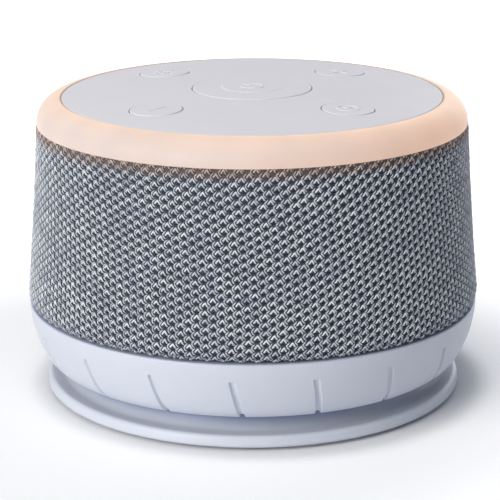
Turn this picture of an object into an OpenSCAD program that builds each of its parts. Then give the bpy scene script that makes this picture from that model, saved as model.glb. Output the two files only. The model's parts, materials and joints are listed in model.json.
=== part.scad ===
// White noise sound machine: a motor-driven fan in an acoustic chamber, inside a cloth-wrapped drum
// with a light ring, five push buttons on top and a turning tone ring at the foot.
// Origin: centre of the footprint on the surface it stands on. +Z up, front at -Y, power socket at +Y.

/* [Base] */
// Largest radius of the base disc
base_r = 68.8; // [66:0.1:71]
// Height of the disc's underside above the surface
base_lift = 1; // [0.6:0.1:2]
// Thickness of the base disc
base_t = 3.8; // [3.2:0.1:6]
// Rounding of the disc's lower edge
base_low_round = 1; // [0.3:0.1:1.4]
// Rounding of the disc's upper edge
base_top_round = 1.5; // [0.3:0.1:1.7]
// Outer radius of the rubber foot pad
pad_r = 62; // [50:0.5:65]
// Inner radius of the rubber foot pad
pad_in_r = 44; // [42:0.5:48]
// Thickness of the rubber foot pad
pad_t = 1.9; // [1.8:0.1:2.4]

/* [Tone ring] */
// Largest radius of the tone ring
ring_r = 74; // [73:0.1:76]
// Radius of the ring's lower lip
ring_lip_r = 65.7; // [64:0.1:67]
// Height of the ring
ring_h = 19.5; // [18:0.1:22]
// Open height between the base disc and the ring
ring_gap = 5.5; // [4:0.1:8]
// Wall of the ring's outer shell
ring_wall = 2.2; // [1.6:0.1:3]
// Thickness of the ring's top web
ring_web_t = 2; // [1.6:0.1:3]
// Wall of the ring's inner skirt
skirt_t = 2; // [1.6:0.1:3]
// Turn of the ring from ports open to ports shut, in degrees
ring_travel = 30; // [20:1:30]
// Finger grooves around the ring
groove_count = 18; // [12:1:24]
// Width of a finger groove
groove_w = 1.85; // [1:0.05:3]
// Depth of a finger groove
groove_depth = 0.85; // [0.4:0.05:1.2]
// Distance from the ring's top edge to a groove's upper end
groove_drop = 5.8; // [3:0.1:10]
// Lean of a groove from the vertical, in degrees
groove_lean = 10.6; // [0:0.1:20]
// Angular width of the stop lug, in degrees
lug_angle = 3.4; // [2:0.1:6]
// Radial width of the stop lug
lug_w = 2; // [1.5:0.1:3]
// Height of the stop lug
lug_h = 1.8; // [1.2:0.1:2.2]

/* [Chassis] */
// Outer radius of the waist drum
waist_r = 57.5; // [57:0.1:58.5]
// Wall of the waist drum
waist_t = 2; // [1.6:0.1:3]
// Thickness of the chassis floor
floor_t = 2.2; // [1.6:0.1:3]
// Tone ports around the waist
port_count = 6; // [6:1:6]
// Angular width of a tone port, in degrees
port_angle = 28; // [20:1:28]
// Height of a tone port
port_h = 13; // [6:0.5:14]
// Height of a port's lower edge above the base disc
port_sill = 7.2; // [4.5:0.1:8]
// Radius of the circle of base screws
base_screw_ring_r = 36; // [34:0.5:38]
// Number of base screws
base_screw_count = 4; // [3:1:6]
// Number of frame screws
frame_screw_count = 3; // [2:1:3]
// Radius of a screw boss
boss_r = 3; // [2.8:0.1:3.2]
// Height of the short screw bosses on the chassis floor
short_boss_h = 7; // [6:0.5:9]

/* [Screws] */
// Radius of the screws' threads
screw_r = 1.25; // [1:0.05:1.5]
// Radius of the screws' heads
screw_head_r = 2.3; // [2:0.05:2.4]
// Height of the screws' heads
screw_head_h = 1.6; // [1.2:0.1:1.8]
// Length of the screws below the head
screw_l = 6.5; // [5:0.5:7]

/* [Cloth drum] */
// Distance that the cloth sleeve stands out past the tone ring
sleeve_proud = 0.2; // [0:0.05:1]
// Radius of the cloth sleeve at its top
sleeve_top_r = 69.95; // [69.8:0.05:70.5]
// Inward bow of the sleeve's side
sleeve_bow = 0.28; // [0:0.02:0.6]
// Height of the sleeve
sleeve_h = 58.2; // [50:0.1:70]
// Height over which the sleeve rolls under at its foot
sleeve_roll_h = 3.3; // [2:0.1:5]
// Distance that the sleeve's foot tucks in
sleeve_tuck = 1.2; // [0.5:0.1:1.4]
// Thickness of the cloth
cloth_t = 1.1; // [0.8:0.05:1.6]
// Wall of the grille frame under the cloth
frame_wall = 2.2; // [1.8:0.1:3]
// Thickness of the grille frame's bottom flange
frame_flange_t = 2; // [1.8:0.1:3]
// Inner radius of the bottom flange
frame_flange_in_r = 50; // [49.5:0.1:50.5]
// Sound slots around the grille frame
slot_count = 30; // [20:1:36]
// Width of a sound slot
slot_w = 8; // [4:0.5:8]
// Height of a sound slot
slot_h = 20; // [10:0.5:20]
// Height of the lower row's sill above the frame's foot
slot_sill = 8; // [5:0.5:9]
// Height of the bar between the two rows of slots
slot_bar = 4.5; // [3:0.5:5]

/* [Deck and light] */
// Depth of the deck below the top of the grille frame
deck_depth = 8.6; // [8:0.1:12]
// Thickness of the deck's floor
deck_t = 2; // [1.6:0.1:2.5]
// Thickness of the deck's wall
deck_wall_t = 2; // [1.5:0.1:2.5]
// Thickness of the deck's rim
deck_rim_t = 1; // [0.8:0.1:1.5]
// Number of deck screws
deck_screw_count = 4; // [3:1:6]
// Radius of the round of the light ring
light_round = 7.75; // [6.5:0.05:9]
// Wall of the light ring
light_wall = 2.4; // [2:0.1:2.5]
// Straight foot below the light ring's round
light_foot_h = 0.5; // [0.2:0.1:1.5]
// Width of the light ring's lip under the cover
light_lip_w = 3; // [2.5:0.1:3.4]
// Thickness of that lip
light_lip_t = 1.4; // [1:0.1:1.8]
// Width of the ring-shaped lamp board
led_board_w = 7.4; // [6:0.1:7.6]
// Thickness of the circuit boards
board_t = 1.2; // [1:0.1:1.6]
// Lamps on the board
led_count = 24; // [12:1:30]
// Side of a lamp
led_size = 3; // [2:0.1:3.5]
// Height of a lamp
led_h = 0.9; // [0.6:0.1:1.4]

/* [Top cover] */
// Rise of the domed cover from its edge to its centre
dome_rise = 2.2; // [1:0.1:3]
// Thickness of the cover
cover_t = 2.2; // [1.8:0.1:3]
// Rounding of the cover's edge
cover_round = 0.4; // [0.2:0.05:0.6]
// Gap between the cover's edge and the light ring
cover_gap = 0.3; // [0.1:0.05:0.5]
// Wall of the cover's locating skirt
cover_skirt_t = 1.5; // [1.2:0.1:2]
// Gap between the locating skirt and the lip of the light ring
cover_skirt_gap = 0.3; // [0.1:0.05:0.5]

/* [Buttons] */
// Radius of the power button
power_r = 19.3; // [15:0.1:21]
// Radius of the raised disc on the power button
power_disc_r = 9.9; // [6:0.1:12]
// Radius of a small button
key_r = 8.2; // [6:0.1:9]
// Distance of the small buttons from the centre
key_ring_r = 42; // [41:0.5:43]
// Gap around a button
key_gap = 0.3; // [0.3:0.05:0.5]
// Height of a button above the cover
key_proud = 0.25; // [0:0.05:0.6]
// Travel of a button
key_travel = 0.8; // [0.5:0.05:1]
// Wall of a button and of its guide collar
key_wall = 1.5; // [1.2:0.1:1.8]
// Width of the flange that stops a button from below
key_flange_w = 1.3; // [1.2:0.05:1.4]
// Thickness of that flange
key_flange_t = 1; // [0.8:0.05:1.1]
// Height of the guide collar around a small button, below the cover
key_collar_h = 2; // [1.5:0.1:2.4]
// Radius of the plunger under a button
plunger_r = 2.2; // [1.8:0.1:2.6]
// Relief of the signs on the buttons
sign_h = 0.15; // [0.1:0.05:0.3]
// Stroke of the signs on the buttons
sign_stroke = 0.8; // [0.5:0.05:1]

/* [Control board] */
// Radius of the control board
board_r = 51; // [50.5:0.1:52]
// Height of the board's standoffs
standoff_h = 3; // [2.5:0.1:3.5]
// Distance of the board screws from the board's edge
board_screw_set = 5; // [4:0.5:6]
// Distance of the cover's bosses, which pass through the board, from its edge
cover_screw_set = 6; // [5:0.5:7]
// Grid on which the board's parts stand
board_grid = 2.5; // [2.2:0.05:2.6]
// Side of a tact switch
switch_size = 6; // [5:0.1:6.5]
// Height of a tact switch's case
switch_h = 3.5; // [3:0.1:3.8]
// Radius of a tact switch's stem
stem_r = 1.75; // [1.2:0.05:2]

/* [Motor and fan] */
// Radius of the motor can
motor_r = 17.5; // [15:0.5:18]
// Height of the motor can
motor_h = 25; // [22:0.5:26]
// Wall of the motor can
motor_wall = 1.2; // [1:0.1:1.5]
// Height of the motor's rear cap
motor_cap_h = 3; // [2.5:0.1:3.5]
// Gap between the chassis floor and the motor
motor_floor_gap = 2; // [1:0.1:3]
// Radius of the motor shaft
shaft_r = 1.5; // [1:0.1:2]
// Running gap between the shaft and its bushes
shaft_gap = 0.05; // [0.02:0.01:0.1]
// Outer radius of the bushes
bush_r = 4; // [3.5:0.1:5]
// Length of a bush
bush_l = 3; // [2.5:0.1:4]
// Thickness of the magnets
magnet_t = 3.2; // [2.5:0.1:3.5]
// Air gap around the armature
air_gap = 0.6; // [0.4:0.1:1]
// Length of the armature
armature_l = 14; // [10:0.5:15]
// Distance that the magnets reach past each end of the armature
magnet_over = 1; // [0:0.1:2]
// Radius of the motor bracket
bracket_r = 28.5; // [28:0.5:30]
// Thickness of the motor bracket
bracket_t = 1.2; // [1:0.1:1.6]
// Radius of the circle of bracket screws
bracket_screw_ring_r = 24; // [23.5:0.1:24.5]
// Number of bracket screws and rubber mounts
bracket_screw_count = 3; // [3:1:4]
// Height of a rubber mount
isolator_h = 2; // [1.5:0.1:2.5]
// Radius of the fan wheel
fan_r = 38.2; // [34:0.1:39]
// Height of the fan wheel's blades
blade_h = 14.6; // [10:0.1:16]
// Chord of a blade
blade_chord = 12; // [8:0.5:13]
// Thickness of a blade
blade_t = 1.2; // [1:0.1:1.6]
// Number of blades
blade_count = 24; // [16:1:32]
// Angle of the blades to the radius, in degrees
blade_lean = 30; // [0:1:40]
// Thickness of the fan wheel's back plate
fan_plate_t = 1.4; // [1.2:0.1:2]
// Radius of the fan wheel's hub
hub_r = 7; // [5:0.1:8]
// Gap between the bracket and the fan wheel
fan_gap = 3.8; // [3:0.1:5]

/* [Acoustic chamber] */
// Outer radius of the acoustic chamber
chamber_r = 43; // [42.5:0.1:43.5]
// Wall of the acoustic chamber
chamber_wall = 1.8; // [1.5:0.1:2.2]
// Height of the acoustic chamber
chamber_h = 60; // [58:0.5:64]
// Radius of the air inlet in the chamber's lid
inlet_r = 24; // [18:0.5:28]
// Thickness of the foot flange
chamber_flange_t = 1.6; // [1.2:0.1:2]
// Number of chamber screws
chamber_screw_count = 4; // [3:1:6]
// Number of outlet slots
outlet_count = 20; // [12:1:24]
// Width of an outlet slot
outlet_w = 5; // [3:0.5:6]
// Height of an outlet slot
outlet_h = 18; // [10:0.5:20]

/* [Power socket] */
// Height of the socket's axis above the frame's foot
jack_rise = 13; // [11:0.5:14]
// Radius of the socket's bore
jack_bore_r = 3.15; // [3:0.05:3.3]
// Depth of the socket's bore
jack_bore_l = 10; // [9:0.5:11]
// Radius of the centre pin
jack_pin_r = 1.05; // [0.8:0.05:1.3]
// Distance of the pin's tip from the socket's mouth
jack_pin_set = 1; // [0.5:0.1:2]
// Width of the socket's case
jack_w = 9; // [8.5:0.1:10]
// Height of the socket's case
jack_case_h = 11; // [10:0.1:12]
// Length of the socket's case
jack_l = 14; // [13:0.1:15]
// Radius of the recess in front of the socket
bezel_in_r = 5.8; // [5.6:0.1:6.2]
// Wall of the recess
bezel_wall = 1.4; // [1:0.1:1.8]
// Width of the bezel's flange
bezel_flange_w = 1.4; // [1:0.1:2]
// Thickness of the bezel's flange
bezel_flange_t = 1; // [0.6:0.1:1.1]
// Distance that the bezel's face stands out past the sleeve
bezel_proud = 0.8; // [0.7:0.05:1]
// Depth of the recess
recess_depth = 5.6; // [5:0.1:6.5]
// Length of the socket board
jack_board_l = 17; // [17:0.5:19]
// Width of the socket board
jack_board_w = 20; // [18:0.5:24]

/* [Leads] */
// Radius of an insulated lead
lead_r = 0.8; // [0.5:0.05:1]
// Depth below the deck at which the leads turn in towards the control board
lead_drop = 3; // [2:0.5:6]
// Distance from the control board's edge to where the leads meet it
lead_set = 8; // [6:0.5:10]

/* [Fits] */
// Gap between parts that move past each other
run_gap = 0.3; // [0.3:0.05:0.5]
// Gap between parts that are assembled and stay put
seat_gap = 0.15; // [0.1:0.01:0.2]
// Gap around a screw's thread
thread_gap = 0.03; // [0.01:0.01:0.1]

/* [Hidden] */
$fn = 144;
steps = 10;          // straight runs that stand for one curve of a turned profile
over = 1;            // how far a cutter passes the face that it cuts

// Heights of the stacked parts
base_z = base_lift;
base_top_z = base_z + base_t;
ring_z = base_top_z + ring_gap;
ring_top_z = ring_z + ring_h;
skirt_z = base_top_z + run_gap;
floor_z = base_top_z + floor_t;
port_z = base_top_z + port_sill;
frame_z = ring_top_z + run_gap;
sleeve_z = frame_z + run_gap;
roll_z = sleeve_z + sleeve_roll_h;
sleeve_top_z = sleeve_z + sleeve_h;
frame_top_z = sleeve_top_z - deck_rim_t;
deck_z = frame_top_z - deck_depth;
deck_floor_z = deck_z + deck_t;
light_z = sleeve_top_z;
light_centre_z = light_z + light_foot_h;
light_top_z = light_centre_z + light_round;
led_board_z = light_z;
led_z = led_board_z + board_t;
board_z = deck_floor_z + standoff_h;
board_top_z = board_z + board_t;

// Radii that follow from the fits
skirt_in_r = waist_r + run_gap;
skirt_r = skirt_in_r + skirt_t;
sleeve_low_r = ring_r + sleeve_proud;
light_outer_r = sleeve_top_r - 0.05;
light_centre_r = light_outer_r - light_round;
deck_wall_r = light_centre_r - seat_gap;
cover_r = deck_wall_r - cover_gap;
light_lip_r = deck_wall_r - light_lip_w;
led_board_r = deck_wall_r - 0.1;
led_board_in_r = led_board_r - led_board_w;
led_ring_r = led_board_r - led_size / 2 - 0.5;
deck_rim_in_r = led_board_in_r - 0.5;
pilot_r = screw_r + thread_gap;

// Circles of the screws
frame_screw_ring_r = waist_r - waist_t - boss_r + 0.5;
deck_boss_r = boss_r - 0.3;
deck_screw_ring_r = deck_wall_r + deck_boss_r;
board_screw_ring_r = board_r - board_screw_set;
cover_screw_ring_r = board_r - cover_screw_set;
chamber_screw_ring_r = chamber_r + screw_head_r + 0.6;
chamber_flange_r = chamber_screw_ring_r + boss_r + 0.1;

// Dome of the top cover
dome_top_z = light_top_z - 0.05 + dome_rise;
dome_r = (cover_r * cover_r + dome_rise * dome_rise) / (2 * dome_rise);
key_top_z = dome_z(key_ring_r);
collar_z = dome_z(key_ring_r + key_r + key_gap + key_wall) - cover_t - key_collar_h;
key_flange_z = collar_z - run_gap - key_flange_t;
switch_top_z = board_top_z + switch_h;
stem_top_z = switch_top_z + 0.8;
plunger_z = stem_top_z + key_travel + run_gap;

// Motor and fan
motor_z = floor_z + motor_floor_gap;
can_z = motor_z + motor_cap_h;
bracket_z = can_z + motor_h;
pillar_top_z = bracket_z - isolator_h;
fan_z = bracket_z + bracket_t + fan_gap;
fan_top_z = fan_z + fan_plate_t + blade_h + fan_plate_t;
motor_seat_z = motor_z + 1;
shaft_z = motor_seat_z + run_gap;
motor_screw_ring_r = 11;
magnet_r = motor_r - motor_wall - seat_gap;
armature_r = magnet_r - magnet_t - air_gap;
armature_z = can_z + (motor_h - armature_l) / 2;
chamber_top_z = floor_z + chamber_h;

// Stop lug and its slot, measured ccw from +X
lug_at = 255;
lug_in_r = skirt_r + run_gap + 2;
lug_slot_spare = 0.4;

// Power socket
jack_z = frame_z + jack_rise;
bezel_face_y = sleeve_r(jack_z) + bezel_proud;
jack_face_y = bezel_face_y - recess_depth;
bezel_flange_r = bezel_in_r + bezel_wall + bezel_flange_w;
jack_board_z = jack_z - jack_case_h / 2 - board_t;
jack_board_y = jack_face_y - jack_board_l - 0.5;
jack_post_r = 2.5;
jack_post_x = jack_board_w / 2 - jack_post_r - 0.3;
jack_post_y = jack_board_y + jack_post_r + 0.5;

// Leads: the motor's leave the chamber at lead_at, ccw from +X, and rise outside it; all of them turn
// in below the deck and meet the control board from below at lead_in_r
lead_at = 160;
lead_side = lead_r * 1.1;
lead_hole_r = lead_side + lead_r + 0.4;
lead_exit_z = motor_z + motor_cap_h / 2;
lead_rise_r = chamber_r + 3.5;
lead_turn_z = deck_z - lead_drop;
lead_in_r = board_r - lead_set;
socket_lead_y = jack_board_y + 2 * lead_r;

// Cross recess in the screws' heads
cross_l = 2.6;
cross_w = 0.6;
cross_depth = 0.9;

// Height of the domed top at a distance r from the axis
function dome_z(r) = dome_top_z - dome_r + sqrt(dome_r * dome_r - r * r);

// Points of an arc about c from angle a0 to angle a1
function arc(c, r, a0, a1, n = steps) =
    [for (i = [0:n]) let (a = a0 + (a1 - a0) * i / n) c + r * [cos(a), sin(a)]];

// Cubic curve through the control points p at t, and its direction there
function curve(p, t) = pow(1 - t, 3) * p[0] + 3 * t * pow(1 - t, 2) * p[1]
    + 3 * t * t * (1 - t) * p[2] + pow(t, 3) * p[3];
function curve_dir(p, t) = let (d = pow(1 - t, 2) * (p[1] - p[0]) + 2 * t * (1 - t) * (p[2] - p[1])
    + t * t * (p[3] - p[2])) d / norm(d);

// Outer side of the tone ring, from its top edge down to its lip, set in by a depth
ring_edge_round = 0.5;
ring_curve = [[ring_r, ring_top_z - ring_edge_round], [ring_r, ring_top_z - ring_h * 0.39],
    [ring_lip_r + 4.1, ring_z], [ring_lip_r, ring_z]];
function ring_side(depth, n = 14) = [for (i = [0:n]) let (t = i / n, d = curve_dir(ring_curve, t))
    curve(ring_curve, t) + depth * [d[1], -d[0]]];

// Outer side of the cloth sleeve at height z: a straight taper with a slight inward bow
function sleeve_r(z) = let (t = (z - roll_z) / (sleeve_top_z - roll_z))
    sleeve_low_r + (sleeve_top_r - sleeve_low_r) * t - 4 * sleeve_bow * t * (1 - t);
function sleeve_side(depth, top) = concat(
    [for (i = [0:4]) let (a = 90 * i / 4)
        [sleeve_low_r - sleeve_tuck * (1 - sin(a)) - depth, roll_z - sleeve_roll_h * cos(a)]],
    [for (i = [1:steps]) let (z = roll_z + (top - roll_z) * i / steps) [sleeve_r(z) - depth, z]]);

// A turned solid from its profile of radius and height
module turned(points) {
    rotate_extrude() polygon(points);
}

module tube(outer, inner, z0, z1) {
    difference() {
        translate([0, 0, z0]) cylinder(r = outer, h = z1 - z0);
        translate([0, 0, z0 - over]) cylinder(r = inner, h = z1 - z0 + 2 * over);
    }
}

// Copies of a part around the axis
module around(count, start = 0) {
    for (i = [0:count - 1]) rotate(start + 360 * i / count) children();
}

// A sector of a ring, centred on the angle at
module sector(inner, outer, z0, z1, angle, at) {
    rotate(at - angle / 2) rotate_extrude(angle = angle)
        translate([inner, z0]) square([outer - inner, z1 - z0]);
}

// A pan-head screw along -Z, its head's underside at z = 0
module screw(length = screw_l) {
    difference() {
        union() {
            cylinder(r = screw_head_r, h = screw_head_h, $fn = 48);
            translate([0, 0, -length]) cylinder(r = screw_r, h = length + 0.01, $fn = 32);
        }
        for (a = [0, 90]) rotate(a) translate([-cross_l / 2, -cross_w / 2, screw_head_h - cross_depth])
            cube([cross_l, cross_w, cross_depth + over]);
    }
}

// The hole that a screw passes or bites into
module screw_hole(z, length, radius = pilot_r) {
    translate([0, 0, z]) cylinder(r = radius, h = length, $fn = 32);
}

// An insulated lead along straight runs with round corners
module lead(points) {
    for (i = [0:len(points) - 2]) {
        d = points[i + 1] - points[i];
        translate(points[i]) rotate([0, acos(d[2] / norm(d)), atan2(d[1], d[0])])
            cylinder(r = lead_r, h = norm(d), $fn = 24);
    }
    for (i = [1:len(points) - 2]) translate(points[i]) sphere(r = lead_r + 0.03, $fn = 24);
}

// ---- Base ----

module foot_pad() {
    color("dimgray") tube(pad_r, pad_in_r, 0, pad_t);
}

module base_disc() {
    low_c = [base_r - base_low_round, base_z + base_low_round];
    top_c = [base_r - base_top_round - 0.3, base_top_z - base_top_round];
    head_room = screw_head_h + 0.1;
    color("lavender") difference() {
        turned(concat([[0, base_z]], arc(low_c, base_low_round, -90, 0, 5),
            arc(top_c, base_top_round, 10, 90, 6), [[0, base_top_z]]));
        tube(pad_r + seat_gap, pad_in_r - seat_gap, base_z - over, pad_t);
        around(base_screw_count, 45) translate([base_screw_ring_r, 0, 0]) {
            screw_hole(base_z - over, base_t + 2 * over);
            screw_hole(base_z - over, head_room + over, screw_head_r + seat_gap);
        }
    }
}

module base_screws() {
    color("silver") around(base_screw_count, 45)
        translate([base_screw_ring_r, 0, base_z + screw_head_h + 0.1]) mirror([0, 0, 1]) screw();
}

// ---- Chassis: floor, waist drum with tone ports, screw bosses and motor pillars ----

module lower_chassis() {
    color("gainsboro") difference() {
        union() {
            tube(waist_r, waist_r - waist_t, base_top_z, frame_z);
            translate([0, 0, base_top_z]) cylinder(r = waist_r, h = floor_t);
            around(base_screw_count, 45) translate([base_screw_ring_r, 0, base_top_z])
                cylinder(r = boss_r, h = short_boss_h);
            around(frame_screw_count, 30) translate([frame_screw_ring_r, 0, base_top_z])
                cylinder(r = boss_r, h = frame_z - base_top_z);
            around(bracket_screw_count, 90) translate([bracket_screw_ring_r, 0, base_top_z])
                cylinder(r = boss_r, h = pillar_top_z - base_top_z);
            around(chamber_screw_count) translate([chamber_screw_ring_r, 0, base_top_z])
                cylinder(r = boss_r, h = floor_t);
        }
        around(port_count) sector(waist_r - waist_t - 0.5, waist_r + over, port_z, port_z + port_h,
            port_angle, 0);
        around(base_screw_count, 45) translate([base_screw_ring_r, 0, 0])
            screw_hole(base_top_z - over, screw_l - 0.5);
        around(frame_screw_count, 30) translate([frame_screw_ring_r, 0, 0])
            screw_hole(frame_z - screw_l, screw_l + over);
        around(bracket_screw_count, 90) translate([bracket_screw_ring_r, 0, 0])
            screw_hole(pillar_top_z - screw_l, screw_l + over);
        around(chamber_screw_count) translate([chamber_screw_ring_r, 0, 0])
            screw_hole(base_top_z - over, floor_t + 2 * over);
    }
}

// ---- Tone ring: grooved outer shell, top web and inner skirt that shutters the ports ----

module tone_ring() {
    top_c = [ring_r - ring_edge_round, ring_top_z - ring_edge_round];
    web_z = ring_top_z - ring_web_t;
    inner = [for (p = ring_side(ring_wall)) if (p[1] < web_z) p];
    lip = [ring_lip_r, inner[len(inner) - 1][1]];
    groove_top_z = ring_top_z - groove_drop;
    color("lavender") difference() {
        union() {
            turned(concat(arc(top_c, ring_edge_round, 90, 0, 4), ring_side(0),
                [lip], [for (i = [len(inner) - 2:-1:0]) inner[i]],
                [[inner[0][0], web_z], [skirt_r, web_z], [skirt_r, skirt_z],
                    [skirt_in_r, skirt_z], [skirt_in_r, ring_top_z]]));
            sector(lug_in_r, lug_in_r + lug_w, ring_top_z - 0.5, ring_top_z + lug_h, lug_angle, lug_at);
        }
        around(port_count) sector(skirt_in_r - over, skirt_r + 0.5, port_z, port_z + port_h,
            port_angle, 0);
        intersection() {
            turned(concat(ring_side(groove_depth), [[ring_lip_r - over, ring_z + groove_depth],
                [ring_lip_r - over, ring_z - over], [ring_r + 2, ring_z - over],
                [ring_r + 2, ring_top_z - ring_edge_round]]));
            around(groove_count) translate([ring_r - 12, 0, groove_top_z]) rotate([groove_lean, 0, 0])
                translate([0, -groove_w / 2, -ring_h]) cube([14, groove_w, ring_h]);
        }
    }
}

// ---- Cloth drum ----

module grille_frame() {
    skin = cloth_t + seat_gap;
    outer = sleeve_side(skin, frame_top_z);
    inner = sleeve_side(skin + frame_wall, frame_top_z);
    foot = [outer[0][0], frame_z];
    row_z = [frame_z + slot_sill, frame_z + slot_sill + slot_h + slot_bar];
    boss_h = screw_l + 1.5;
    color("dimgray") difference() {
        union() {
            turned(concat([[frame_flange_in_r, frame_z], foot], outer,
                [for (i = [len(inner) - 1:-1:0]) if (inner[i][1] > frame_z + frame_flange_t) inner[i]],
                [[inner[1][0], frame_z + frame_flange_t],
                    [frame_flange_in_r, frame_z + frame_flange_t]]));
            around(frame_screw_count, 30)
                translate([frame_screw_ring_r - boss_r + 0.1, -boss_r, frame_z])
                    cube([3 * boss_r, 2 * boss_r, frame_flange_t]);
            around(deck_screw_count, 45) translate([deck_screw_ring_r, 0, frame_top_z - boss_h])
                cylinder(r = deck_boss_r, h = boss_h);
            for (s = [-1, 1]) {
                translate([s * jack_post_x, jack_post_y, frame_z])
                    cylinder(r = jack_post_r, h = jack_board_z - frame_z);
                translate([s * jack_post_x - jack_post_r, jack_post_y, frame_z])
                    cube([2 * jack_post_r, 3 * boss_r, frame_flange_t]);
            }
        }
        for (row = [0, 1], i = [0:slot_count - 1])
            let (at = 360 * (i + 0.5) / slot_count, off = abs(at - 90) * PI / 180 * sleeve_low_r)
                if (row == 1 || off > slot_w / 2 + bezel_in_r + bezel_wall + 3)
                    rotate(at) translate([sleeve_top_r - 8, -slot_w / 2, row_z[row]])
                        cube([14, slot_w, slot_h]);
        around(deck_screw_count, 45) translate([deck_screw_ring_r, 0, 0])
            screw_hole(frame_top_z - screw_l, screw_l + over);
        around(frame_screw_count, 30) translate([frame_screw_ring_r, 0, 0])
            screw_hole(frame_z - over, frame_flange_t + 2 * over);
        for (s = [-1, 1]) translate([s * jack_post_x, jack_post_y, 0])
            screw_hole(jack_board_z - screw_l, screw_l + over);
        sector(lug_in_r - run_gap, lug_in_r + lug_w + run_gap, frame_z - over,
            frame_z + frame_flange_t + over, ring_travel + lug_angle + 2 * lug_slot_spare,
            lug_at + ring_travel / 2);
        translate([0, 0, jack_z]) rotate([-90, 0, 0]) {
            cylinder(r = bezel_in_r + bezel_wall + seat_gap, h = bezel_face_y);
            translate([0, 0, bezel_face_y - bezel_flange_t - seat_gap])
                cylinder(r = bezel_flange_r + seat_gap, h = 2 * bezel_flange_r);
        }
    }
}

module frame_screws() {
    color("silver") around(frame_screw_count, 30)
        translate([frame_screw_ring_r, 0, frame_z + frame_flange_t]) screw();
}

module fabric_sleeve() {
    outer = sleeve_side(0, sleeve_top_z);
    inner = sleeve_side(cloth_t, sleeve_top_z);
    color("slategray") difference() {
        turned(concat(outer, [for (i = [len(inner) - 1:-1:0]) inner[i]]));
        translate([0, 0, jack_z]) rotate([-90, 0, 0])
            cylinder(r = bezel_flange_r + seat_gap, h = bezel_face_y + over);
    }
}

// ---- Acoustic chamber ----

module acoustic_chamber() {
    outlet_z = fan_z - 1.5;
    color("whitesmoke") difference() {
        union() {
            tube(chamber_r, chamber_r - chamber_wall, floor_z, chamber_top_z);
            tube(chamber_flange_r, chamber_r - chamber_wall, floor_z, floor_z + chamber_flange_t);
            tube(chamber_r, inlet_r, chamber_top_z - chamber_wall, chamber_top_z);
        }
        around(outlet_count, 9) translate([chamber_r - 5, -outlet_w / 2, outlet_z])
            cube([10, outlet_w, outlet_h]);
        around(chamber_screw_count) translate([chamber_screw_ring_r, 0, 0])
            screw_hole(floor_z - over, chamber_flange_t + 2 * over);
        rotate(lead_at) translate([chamber_r - 5, 0, lead_exit_z]) rotate([0, 90, 0])
            cylinder(r = lead_hole_r, h = 10);
    }
}

module chamber_screws() {
    color("silver") around(chamber_screw_count)
        translate([chamber_screw_ring_r, 0, floor_z + chamber_flange_t]) screw(floor_t + 1);
}

// ---- Motor ----

module motor_can() {
    top_t = 1.5;
    color("silver") difference() {
        translate([0, 0, can_z]) cylinder(r = motor_r, h = motor_h);
        translate([0, 0, can_z - over]) cylinder(r = motor_r - motor_wall, h = motor_h - top_t + over);
        translate([0, 0, can_z]) cylinder(r = bush_r + thread_gap, h = motor_h + over);
        around(2) translate([motor_screw_ring_r, 0, 0])
            screw_hole(bracket_z - top_t - over, top_t + 2 * over);
    }
}

module motor_cap() {
    color("dimgray") difference() {
        translate([0, 0, motor_z]) cylinder(r = motor_r, h = motor_cap_h);
        translate([0, 0, motor_seat_z]) cylinder(r = bush_r + thread_gap, h = motor_cap_h);
    }
}

module motor_bushes() {
    color("peru") for (z = [motor_seat_z, bracket_z - bush_l])
        tube(bush_r, shaft_r + shaft_gap, z, z + bush_l);
}

module motor_magnets() {
    span = 130;
    color("darkslategray") for (at = [0, 180])
        sector(magnet_r - magnet_t, magnet_r, armature_z - magnet_over,
            armature_z + armature_l + magnet_over, span, at);
}

module motor_bracket() {
    color("lightsteelblue") difference() {
        translate([0, 0, bracket_z]) cylinder(r = bracket_r, h = bracket_t);
        translate([0, 0, bracket_z - over]) cylinder(r = bush_r + 1, h = bracket_t + 2 * over);
        around(bracket_screw_count, 90) translate([bracket_screw_ring_r, 0, 0])
            screw_hole(bracket_z - over, bracket_t + 2 * over);
        around(2) translate([motor_screw_ring_r, 0, 0])
            screw_hole(bracket_z - over, bracket_t + 2 * over);
    }
}

module motor_screws() {
    color("silver") around(2) translate([motor_screw_ring_r, 0, bracket_z + bracket_t])
        screw(bracket_t + 1.2);
}

module rubber_mounts() {
    color("black") around(bracket_screw_count, 90) translate([bracket_screw_ring_r, 0, 0])
        tube(boss_r + 0.5, screw_r + seat_gap, pillar_top_z, bracket_z);
}

module bracket_screws() {
    color("silver") around(bracket_screw_count, 90)
        translate([bracket_screw_ring_r, 0, bracket_z + bracket_t]) screw(screw_l + isolator_h);
}

module motor_shaft() {
    color("gray") translate([0, 0, shaft_z]) cylinder(r = shaft_r, h = fan_top_z - shaft_z, $fn = 48);
}

module armature() {
    poles = 5;
    slot = 2;
    color("chocolate") difference() {
        translate([0, 0, armature_z]) cylinder(r = armature_r, h = armature_l);
        translate([0, 0, armature_z - over])
            cylinder(r = shaft_r + thread_gap, h = armature_l + 2 * over, $fn = 48);
        around(poles) translate([armature_r / 2, -slot / 2, armature_z - over])
            cube([armature_r, slot, armature_l + 2 * over]);
    }
}

module fan_wheel() {
    blade_z = fan_z + fan_plate_t;
    blade_in_r = fan_r - blade_chord * cos(blade_lean) - 0.8;
    color("white") difference() {
        union() {
            translate([0, 0, fan_z]) cylinder(r = fan_r, h = fan_plate_t);
            translate([0, 0, fan_z]) cylinder(r = hub_r, h = fan_plate_t + blade_h);
            tube(fan_r, fan_r - 5, blade_z + blade_h, fan_top_z);
            around(blade_count) translate([blade_in_r, 0, blade_z - 0.1]) rotate(blade_lean)
                translate([0, -blade_t / 2, 0]) cube([blade_chord, blade_t, blade_h + 0.2]);
        }
        translate([0, 0, fan_z - over])
            cylinder(r = shaft_r + thread_gap, h = fan_top_z, $fn = 48);
    }
}

// ---- Deck, lamps and light ring ----

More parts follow.
